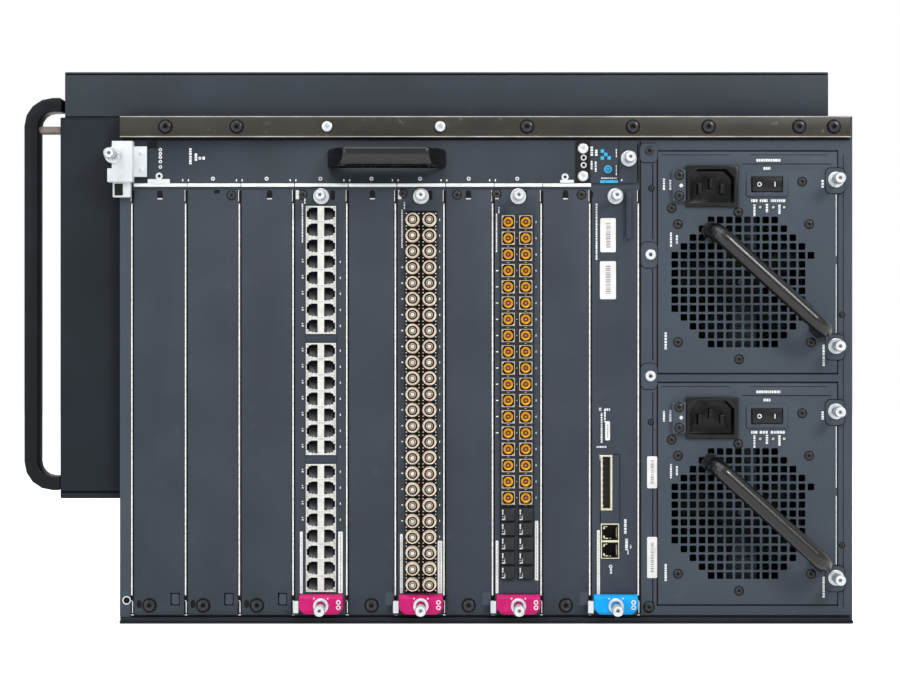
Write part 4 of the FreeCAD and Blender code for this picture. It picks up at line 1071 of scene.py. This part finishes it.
def makeCardLabels():
    for body, plates in cardPrint["strips"].items():
        paper, marks = bmesh.new(), bmesh.new()
        for x, z, wide, tall in plates:
            addPlate(paper, x, z, wide, tall, 0.05, -ink["paperThick"], 0.5)
            at = z + 2
            while at < z + tall - 3:
                stroke = random.uniform(1, 2.6)
                addBox(marks, (x + wide * 0.42, -ink["paperThick"] - 0.05, at),
                       (x + wide * 0.58, 0, at + stroke))
                at += stroke + random.uniform(0.6, 1.2)
        if body == "control_card":
            for spot in cardPrint["labels"]:
                addLabel(paper, marks, *spot)
        finishPiece("paper_" + body, paper, "paper", body, slot="white_plastic")
        finishPiece("bars_" + body, marks, "grey_print", body, slot="white_plastic")
    words = bmesh.new()
    for spot in cardPrint["words"]:
        addWord(words, *spot)
    addRing(words, 429.3, 49.6, 1.5, 0.9)
    addWord(words, 428.8, 43.4, 1.6, 4.4)
    finishPiece("words_control_card", words, "white_print", "control_card", slot="white_plastic")
    plate = bmesh.new()
    addPlate(plate, 335.1, 26.2, 26.3, 10.6, 0.05, -0.5, 0.6)
    finishPiece("port_card_plate", plate, "panel_paint", "port_card")


makeCardMarks()
makeCardLabels()
print("labels")


# marks and fittings of the fan tray

# x and height above the tray's lower edge, then width and height
tray = {
    "eyelets": (29.3, 25.8, 22.7, 18.8, 14.2),
    "hooks": [(24.5, 384.3, 19.2, 4.2, 34.4), (385, 385.2, 12, 2.6, 389.4)],  # last is the washer's x
    "steps": [(420.5, 26.6), (423.5, 23.6), (426.5, 20.6), (420.5, 20.6)],  # squares of the bent arrow
    "words": [(411.6, 24, 2.2, 8), (415.6, 24, 2.2, 6), (411.8, 12, 1.6, 8), (415.4, 10, 1.6, 9),
              (433.8, 22.8, 0.8, 7), (433.8, 7, 0.8, 8.6), (421, 3.9, 14, 1), (438.5, 2, 1.4, 1.4)],
}


def makeTrayDetails():
    base = boxOf("fan_tray")[0].z
    prints, white, black, bright, cyan, dark = (bmesh.new() for _ in range(6))
    for rise in tray["eyelets"]:
        addRing(prints, 35.4, base + rise, 1.5, 0.75)
    addWord(prints, 60.6, base + 16.6, 2.2, 14)
    addWord(prints, 65.4, base + 19.6, 2.2, 6.4)
    addRing(prints, 69.9, base + 21.8, 1.3, 0.6)
    addWord(prints, 72.2, base + 20.6, 2.6, 2.6)
    for middle, edge in zip(middles[1:8], edges[1:]):
        addRing(prints, middle, base + 3.9, 1.7, 0.85)
        for x in (edge + 1.6, edge - 3.4):
            addDash(prints, x, base + 1.6, 1, 1.8)
    # latch hooks over the seal, with their washers
    for x, z, wide, tall, ring in tray["hooks"]:
        addPlate(white, x, z, wide, tall, 0.1, -1.6, 0.5)
        addRing(white, ring, z + tall + 2.6, 3.1, 1.4, 0.05, 1)
    # narrow sub-panel at the right with two bright screws and two eyelets
    addPlate(black, 398.5, base + 0.2, 12.75, 36.6, 0.05, -0.9, 1.2)
    for rise in (30.2, 6.1):
        addButton(bright, 405.1, base + rise, -0.8, 4.7, 2.2, 3.4)
    for rise in (22.3, 15.7):
        addRing(bright, 405.6, base + rise, 2.6, 1.5, -0.85, 0.5)
    # icon strip: a bent arrow, a ring and a block
    for x, rise in tray["steps"]:
        addPlate(cyan, x, base + rise, 3, 3, 0.05, -0.12, 0.4)
    addRing(cyan, 427, base + 12.2, 3.5, 2)
    addPlate(cyan, 425.9, base + 11.1, 2.2, 2.2, 0.05, -0.12, 0.6)
    addPlate(cyan, 420, base + 0.2, 15.7, 2.4, 0.05, -0.14, 0.3)
    for x, rise, wide, tall in tray["words"]:
        addWord(prints, x, base + rise, wide, tall)
    addPlate(dark, 436.1, base + 0.3, 0.5, 36.6, 0.05, -0.06)
    # dark tab behind the latch
    addPlate(dark, 24.5, base + 31.5, 8, 5.4, 0.05, -0.8, 0.4)
    for name, mesh, finish, slot in (("tray_prints", prints, "white_print", "white_plastic"),
                                     ("tray_hooks", white, "white_plastic", None),
                                     ("tray_subpanel", black, "black_plastic", None),
                                     ("tray_bright", bright, "bright_steel", None),
                                     ("tray_icons", cyan, "cyan_print", "blue_plastic"),
                                     ("tray_seams", dark, "socket_plastic", None)):
        finishPiece(name, mesh, finish, "fan_tray", slot=slot)


def makeLatchDetails():
    # screw heads, a raised rib and the window's dark catch on the white latch
    low, high = boxOf("tray_bracket")
    metal, rib, catch = bmesh.new(), bmesh.new(), bmesh.new()
    pad = high.x - 5
    for z in (low.z + 38.4, low.z + 24):
        addButton(metal, pad, z, -3, 2, 0.5, 1.6)
    addPlate(rib, low.x + 12.5, low.z + 14, 1.6, 29, low.y + 0.1, low.y - 0.8, 0.6)
    addRing(rib, low.x + 5, low.z + 36.3, 7.2, 5.4, low.y + 0.05, 0.8)
    addBox(catch, (low.x + 5.4, -6.3, low.z + 1.6), (low.x + 12.8, -1.1, low.z + 11.9))
    addRing(catch, low.x + 9.3, low.z + 6.6, 3, 1.8, -6.2, 1)
    addPlate(catch, low.x + 4, low.z + 13.4, 15.6, 0.5, -8, -8.1)
    finishPiece("latch_screws", metal, "bright_steel", "fan_tray")
    finishPiece("latch_rib", rib, "white_plastic", "fan_tray")
    finishPiece("latch_catch", catch, "black_plastic", "fan_tray", slot="socket_plastic")


makeTrayDetails()
makeLatchDetails()
print("fan tray")


# fittings on the fronts of the supplies

# from the lower left corner of each supply: x, z, then width and height
front = {
    "lampRadius": 2.1, "lamps": (89.2, 100.6, 110.2), "screwRadius": 3.5,
    "screws": [(11.8, 144), (70, 140.5), (17.4, 130), (132.1, 130), (126, 167.2), (17.4, 26.8), (70.8, 11.9),
               (133.8, 26.8)],
    "words": [(86, 184.8, 21, 2.3), (92.2, 177.6, 6, 2.4), (81.4, 149.4, 5.4, 2.4), (88.9, 149.4, 7.4, 2.4),
              (98.6, 149.4, 12.6, 2.4), (83.4, 137, 1.7, 11), (94.2, 140.4, 2, 8), (105.1, 139, 2, 9),
              (4.2, 160, 1.8, 9.8), (9.8, 160, 1.8, 9.8), (10.4, 110.4, 1.7, 12.4), (15.6, 113, 1.6, 8),
              (5.6, 20.5, 2, 15.3), (142.9, 161.8, 2, 7), (143.8, 6, 2, 18.6)],
    "diamonds": [(19.8, 163.6, 1.9, -4.9), (156.6, 13.6, 1.5, 0.05)],  # reach and the depth behind it
    "ears": (23.5, 169), "guard": (13, 26, 39, 52), "blades": [(-10, -2), (0, 3), (10, -2)],
}


def makeSupplyFront(number):
    low = boxOf(f"psu_{number}_case")[0]
    x0, z0 = low.x, low.z
    black, prints, lens, dark, ears, metal, blades = (bmesh.new() for _ in range(7))
    for x, z in front["screws"]:
        addBlackScrew(black, dark, x0 + x, z0 + z, 0, front["screwRadius"], 1.2, 2.6)
    for x in front["lamps"]:
        addRing(black, x0 + x, z0 + 144.9, front["lampRadius"], 1.3, 0.05, 0.5)
        addRound(lens, x0 + x, z0 + 144.9, [(1.3, 0), (1.3, -0.35), (0, -0.45)], 16)
    for x, z, wide, tall in front["words"]:
        addWord(prints, x0 + x, z0 + z, wide, tall)
    for x, z, r, y in front["diamonds"]:
        x, z = x0 + x, z0 + z
        addPrism(prints, [(x - r, z), (x, z + r), (x + r, z), (x, z - r)], y, y - 0.25 if y < 0 else -0.12)
    # dark lines of painted shade under the folded flap above the switch and in the seam round the case
    addPlate(dark, x0 + 73.5, z0 + 182.3, 78, 0.7, 0.05, -0.08)
    addPlate(dark, x0 + 3, z0 + 190.4, 60, 0.5, 0.05, -0.08)
    addPlate(dark, x0 + 80, z0 + 190.4, 68, 0.5, 0.05, -0.08)
    # thin bright lines down the right edge: painted highlight of the sheet's edge
    for z, tall in ((34, 62), (101, 56)):
        addPlate(metal, x0 + 155.4, z0 + z + 1, 0.7, tall - 2, 0.05, -0.12)
    # each ear sits on a slightly larger dark plate: a painted shadow outline
    for z in front["ears"]:
        addPlate(dark, x0 + 145.8, z0 + z - 12.7, 17.7, 23.4, 0.05, -0.12, 5, 5)
        addPlate(ears, x0 + 146.4, z0 + z - 12, 16.5, 22, 0.05, -0.9, 4.5, 5)
    # two recessed screws on the cord-clip block
    for z in (172.6, 154.6):
        addBlackScrew(black, dark, x0 + 18, z0 + z, -5, 3.6, 0.8, 2.6)
    # rings of the finger guard seen through the holes
    for radius in front["guard"]:
        addRing(dark, x0 + 74.2, z0 + 79.5, radius + 0.5, radius - 0.5, 7.2, 0.9)
    # blades of the inlet, each with a small bright patch near its top: a painted glint
    middle = middleOf(f"psu_{number}_inlet")
    for x, z in front["blades"]:
        x, z = middle.x + x, middle.z + z
        addBox(blades, (x - 1.15, 3.4, z - 4.15), (x + 1.15, 12, z + 4.15), 0.5)
        addBox(metal, (x - 0.5, 3.3, z + 2.2), (x + 0.5, 3.6, z + 3.8))
    for name, mesh, finish, slot in (("screws", black, "black_steel", None),
                                     ("prints", prints, "white_print", "white_plastic"),
                                     ("lamps", lens, "lamp_lens", "white_plastic"),
                                     ("seams", dark, "socket_plastic", None),
                                     ("ears", ears, "dark_paint", None),
                                     ("blades", blades, "contact_steel", "black_steel"),
                                     ("metal", metal, "bright_steel", None)):
        finishPiece(f"psu_{number}_{name}", mesh, finish, f"psu_{number}", slot=slot)


def makeRockerMarks(number):
    # a ring for off and a bar for on
    rocker = f"psu_{number}_rocker"
    middle = middleOf(rocker)
    marks = bmesh.new()
    addRing(marks, middle.x - 6.8, middle.z, 2, 1.25, -3.1, 0.35)
    addPlate(marks, middle.x + 6.4, middle.z - 2, 0.8, 4, -3, -3.4)
    finishPiece(rocker + "_marks", marks, "white_print", rocker, slot="white_plastic")


for number in (1, 2):
    makeSupplyFront(number)
    makeRockerMarks(number)
print("supply fronts")


# frame round the slots and supplies

# x, z, width and height
frameFit = {
    "strip": (455.9, 470.4), "tabs": (322.5, 216.2), "bigScrews": [(463.3, 413.4), (462.9, 14)],
    "smallScrews": [(465, 380.6), (464.6, 175.9), (632, 270), (632, 68)],
    "seams": [(465.8, 16, 0.9, 186), (465.8, 230, 0.9, 80), (465.8, 336, 0.9, 66), (454.6, 8, 1.5, 414),
              (632.8, 14, 0.6, 396), (1, 422.6, 638, 2), (1, 4.8, 638, 2.2)],
    "labels": [(118, 28), (39.4, 36)], "supplyWide": 156.6,
}


def makeFrameDetails():
    tabs, black, bright, edge, paper, marks, gapShade = (bmesh.new() for _ in range(7))
    low, high = boxOf("mounting_bar")
    # pale strips along the bar's top and bottom edges: painted highlight of the chamfers, and bare steel
    # where the paint is worn
    for z in (low.z + 0.35, high.z - 1.15):
        addBox(edge, (low.x + 0.4, low.y - 0.06, z), (high.x - 0.4, low.y + 0.2, z + 0.8))
    left, right = frameFit["strip"]
    # each tab sits on a slightly larger dark plate: a painted shadow outline
    for z in frameFit["tabs"]:
        addPlate(tabs, left, z - 11.5, right - left, 22.5, 2.1, 1.2, 5, 5)
        addPlate(gapShade, left - 0.7, z - 12.2, right - left + 1, 23.9, 2.05, 1.8, 5.5, 5)
    addPlate(tabs, 455.2, 403.4, 15.2, 16.6, 2.1, 1.2, 4, 5)
    addPlate(gapShade, 454.5, 402.7, 16, 18, 2.05, 1.8, 4.5, 5)
    for x, z in frameFit["bigScrews"]:
        addBlackScrew(black, gapShade, x, z, 1.3, 4.2, 1.2, 3)
    for x, z in frameFit["smallScrews"]:
        addBlackScrew(black, gapShade, x, z, 2.05, 2, 0.7, 1.4)
    # painted shade: dark strips where the supply bay's sheets meet, and in the gap all round each supply
    for spot in frameFit["seams"]:
        addPlate(gapShade, *spot, 2.05, 1.85)
    for number in (1, 2):
        low, high = boxOf(f"psu_{number}_case")
        end = low.x + frameFit["supplyWide"]
        for spot in ((low.x - 1.1, low.z - 1.3, 1.1, high.z - low.z + 2.6),
                     (end, low.z - 1.3, 1.2, high.z - low.z + 2.6),
                     (low.x - 1.1, high.z, end - low.x + 2.3, 1.4),
                     (low.x - 1.1, low.z - 1.4, end - low.x + 2.3, 1.4)):
            addPlate(gapShade, *spot, 2.05, 1.85)
    # bonding point at the lower left, its bore a dark disc of painted shade
    addRing(bright, 5.9, 20.1, 3.7, 2.8, 0.05, 0.5)
    addRound(gapShade, 5.9, 20.1, [(2.9, 0.05), (2.9, -0.1), (0, -0.1)], 20)
    for z, tall in frameFit["labels"]:
        addLabel(paper, marks, 461.3, z, 8.9, tall, 2)
    for name, mesh, finish, slot in (("frame_tabs", tabs, "dark_paint", None),
                                     ("frame_joints", gapShade, "socket_plastic", "dark_paint"),
                                     ("frame_screws", black, "black_steel", None),
                                     ("bonding_ring", bright, "bright_steel", None),
                                     ("bar_edges", edge, "worn_edge", "bar_paint"),
                                     ("frame_labels", paper, "paper", "white_plastic"),
                                     ("frame_bars", marks, "grey_print", "white_plastic")):
        finishPiece(name, mesh, finish, "base", slot=slot)


makeFrameDetails()


def makeDuctEdgeLightAndShade():
    # pale lines of painted highlight along the folded edges of the two ducts and the bottom strip, dark lines
    # of painted shade along the ducts' lower edges and in the gap beside the chassis
    light, dark = bmesh.new(), bmesh.new()
    low, high = boxOf("top_duct")
    addBox(light, (low.x + 4, low.y, high.z - 2.6), (high.x - 4, low.y + 0.4, high.z - 1.5))
    addBox(dark, (low.x + 3.5, low.y, low.z), (high.x - 3.5, low.y + 0.4, low.z + 1.2))
    strip, stripTop = boxOf("bottom_strip")
    addBox(light, (strip.x + 2, strip.y, strip.z + 2), (stripTop.x - 2, strip.y + 0.4, strip.z + 2.5))
    side, top = boxOf("side_duct")
    addBox(dark, (-1.6, side.y, side.z + 1), (-0.1, side.y + 0.4, top.z - 1))
    addBox(dark, (side.x + 1, side.y, side.z + 5), (-1.5, side.y + 0.4, side.z + 5.9))
    addBox(light, (side.x + 1, side.y, side.z + 6.2), (-1.8, side.y + 0.4, side.z + 6.8))
    addBox(light, (side.x + 1, side.y, top.z - 1.6), (-1.8, side.y + 0.4, top.z - 0.9))
    finishPiece("duct_hems", light, "hem_paint", "base", slot="duct_paint")
    finishPiece("duct_gaps", dark, "socket_plastic", "base", slot="duct_paint")


makeDuctEdgeLightAndShade()
print("frame")


# floor, light and camera

def seenDirectly(tree):
    # 1 for the camera's rays and for those that a glossy or clear surface sends on
    path = addNode(tree, "ShaderNodeLightPath")
    rays = path.outputs["Is Camera Ray"]
    for kind in ("Is Glossy Ray", "Is Transmission Ray"):
        either = addNode(tree, "ShaderNodeMath", {0: rays, 1: path.outputs[kind]}, operation="MAXIMUM")
        rays = either.outputs[0]
    return rays


def makeFloorPaper():
    # pale studio paper that keeps the shadow, and shows white to the camera and in reflections
    material = bpy.data.materials.new("floor_paper")
    material.use_nodes = True
    tree = material.node_tree
    tree.nodes.clear()
    paper = addNode(tree, "ShaderNodeBsdfDiffuse", {"Color": linear("#f4f4f3")})
    glow = addNode(tree, "ShaderNodeEmission", {"Color": (1, 1, 1, 1), "Strength": 0.85})
    both = addNode(tree, "ShaderNodeAddShader", {0: paper.outputs[0], 1: glow.outputs[0]})
    seen = addNode(tree, "ShaderNodeMixShader", {0: seenDirectly(tree), 1: paper.outputs[0],
                                                 2: both.outputs[0]})
    addNode(tree, "ShaderNodeOutputMaterial", {"Surface": seen.outputs[0]})
    return material


def makeStage():
    mesh = bmesh.new()
    bmesh.ops.create_grid(mesh, x_segments=1, y_segments=1, size=6)
    data = bpy.data.meshes.new("floor")
    mesh.to_mesh(data)
    mesh.free()
    data.materials.append(makeFloorPaper())
    floor = bpy.data.objects.new("floor", data)
    floor.location.z = cadLow.z - 0.0005
    bpy.context.collection.objects.link(floor)
    floor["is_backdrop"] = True


# size and place of each soft light in metres, its power in watts
lights = {
    "overhead": dict(place=(-0.5, -1.2, 2.4), aim=(0, 0, 0.3), size=2.0, power=36),
    "front_left": dict(place=(-1.9, -2.2, 1.1), aim=(0, 0, 0.25), size=1.6, power=20),
    "front_right": dict(place=(1.35, -2.1, 1.5), aim=(0.1, 0, 0.25), size=0.6, power=34),
    "behind": dict(place=(0.6, 1.8, 1.6), aim=(0, 0, 0.3), size=1.6, power=16),
}


def makeLights():
    for name, light in lights.items():
        data = bpy.data.lights.new(name, "AREA")
        data.shape = "SQUARE"
        data.size = light["size"]
        data.energy = light["power"]
        lamp = bpy.data.objects.new(name, data)
        lamp.location = light["place"]
        aim = Vector(light["aim"]) - Vector(light["place"])
        lamp.rotation_euler = aim.to_track_quat("-Z", "Y").to_euler()
        bpy.context.collection.objects.link(lamp)
        lamp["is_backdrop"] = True


def makeWorld():
    world = bpy.data.worlds.new("studio")
    world.use_nodes = True
    tree = world.node_tree
    tree.nodes.clear()
    soft = addNode(tree, "ShaderNodeBackground", {"Color": linear("#eef1f5"), "Strength": 0.43})
    white = addNode(tree, "ShaderNodeBackground", {"Color": (1, 1, 1, 1), "Strength": 1.0})
    seen = addNode(tree, "ShaderNodeMixShader", {0: seenDirectly(tree), 1: soft.outputs[0],
                                                 2: white.outputs[0]})
    addNode(tree, "ShaderNodeOutputWorld", {"Surface": seen.outputs[0]})
    bpy.context.scene.world = world


shot = {"x": 288.75, "distance": 2200, "height": 250, "lens": 100.6}


def makeCamera():
    data = bpy.data.cameras.new("shot")
    data.lens = shot["lens"]
    data.sensor_width = 36
    data.clip_end = 20
    camera = bpy.data.objects.new("shot", data)
    camera.location = toWorld @ Vector((shot["x"], -shot["distance"], shot["height"]))
    camera.rotation_euler = (math.pi / 2, 0, 0)
    bpy.context.collection.objects.link(camera)
    bpy.context.scene.camera = camera
    bpy.context.scene.view_settings.view_transform = "Standard"


makeStage()
makeLights()
makeWorld()
makeCamera()
print("stage")

low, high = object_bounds()
sizes = {"cad": [list(cadLow), list(cadHigh)], "dressed": [list(low), list(high)]}
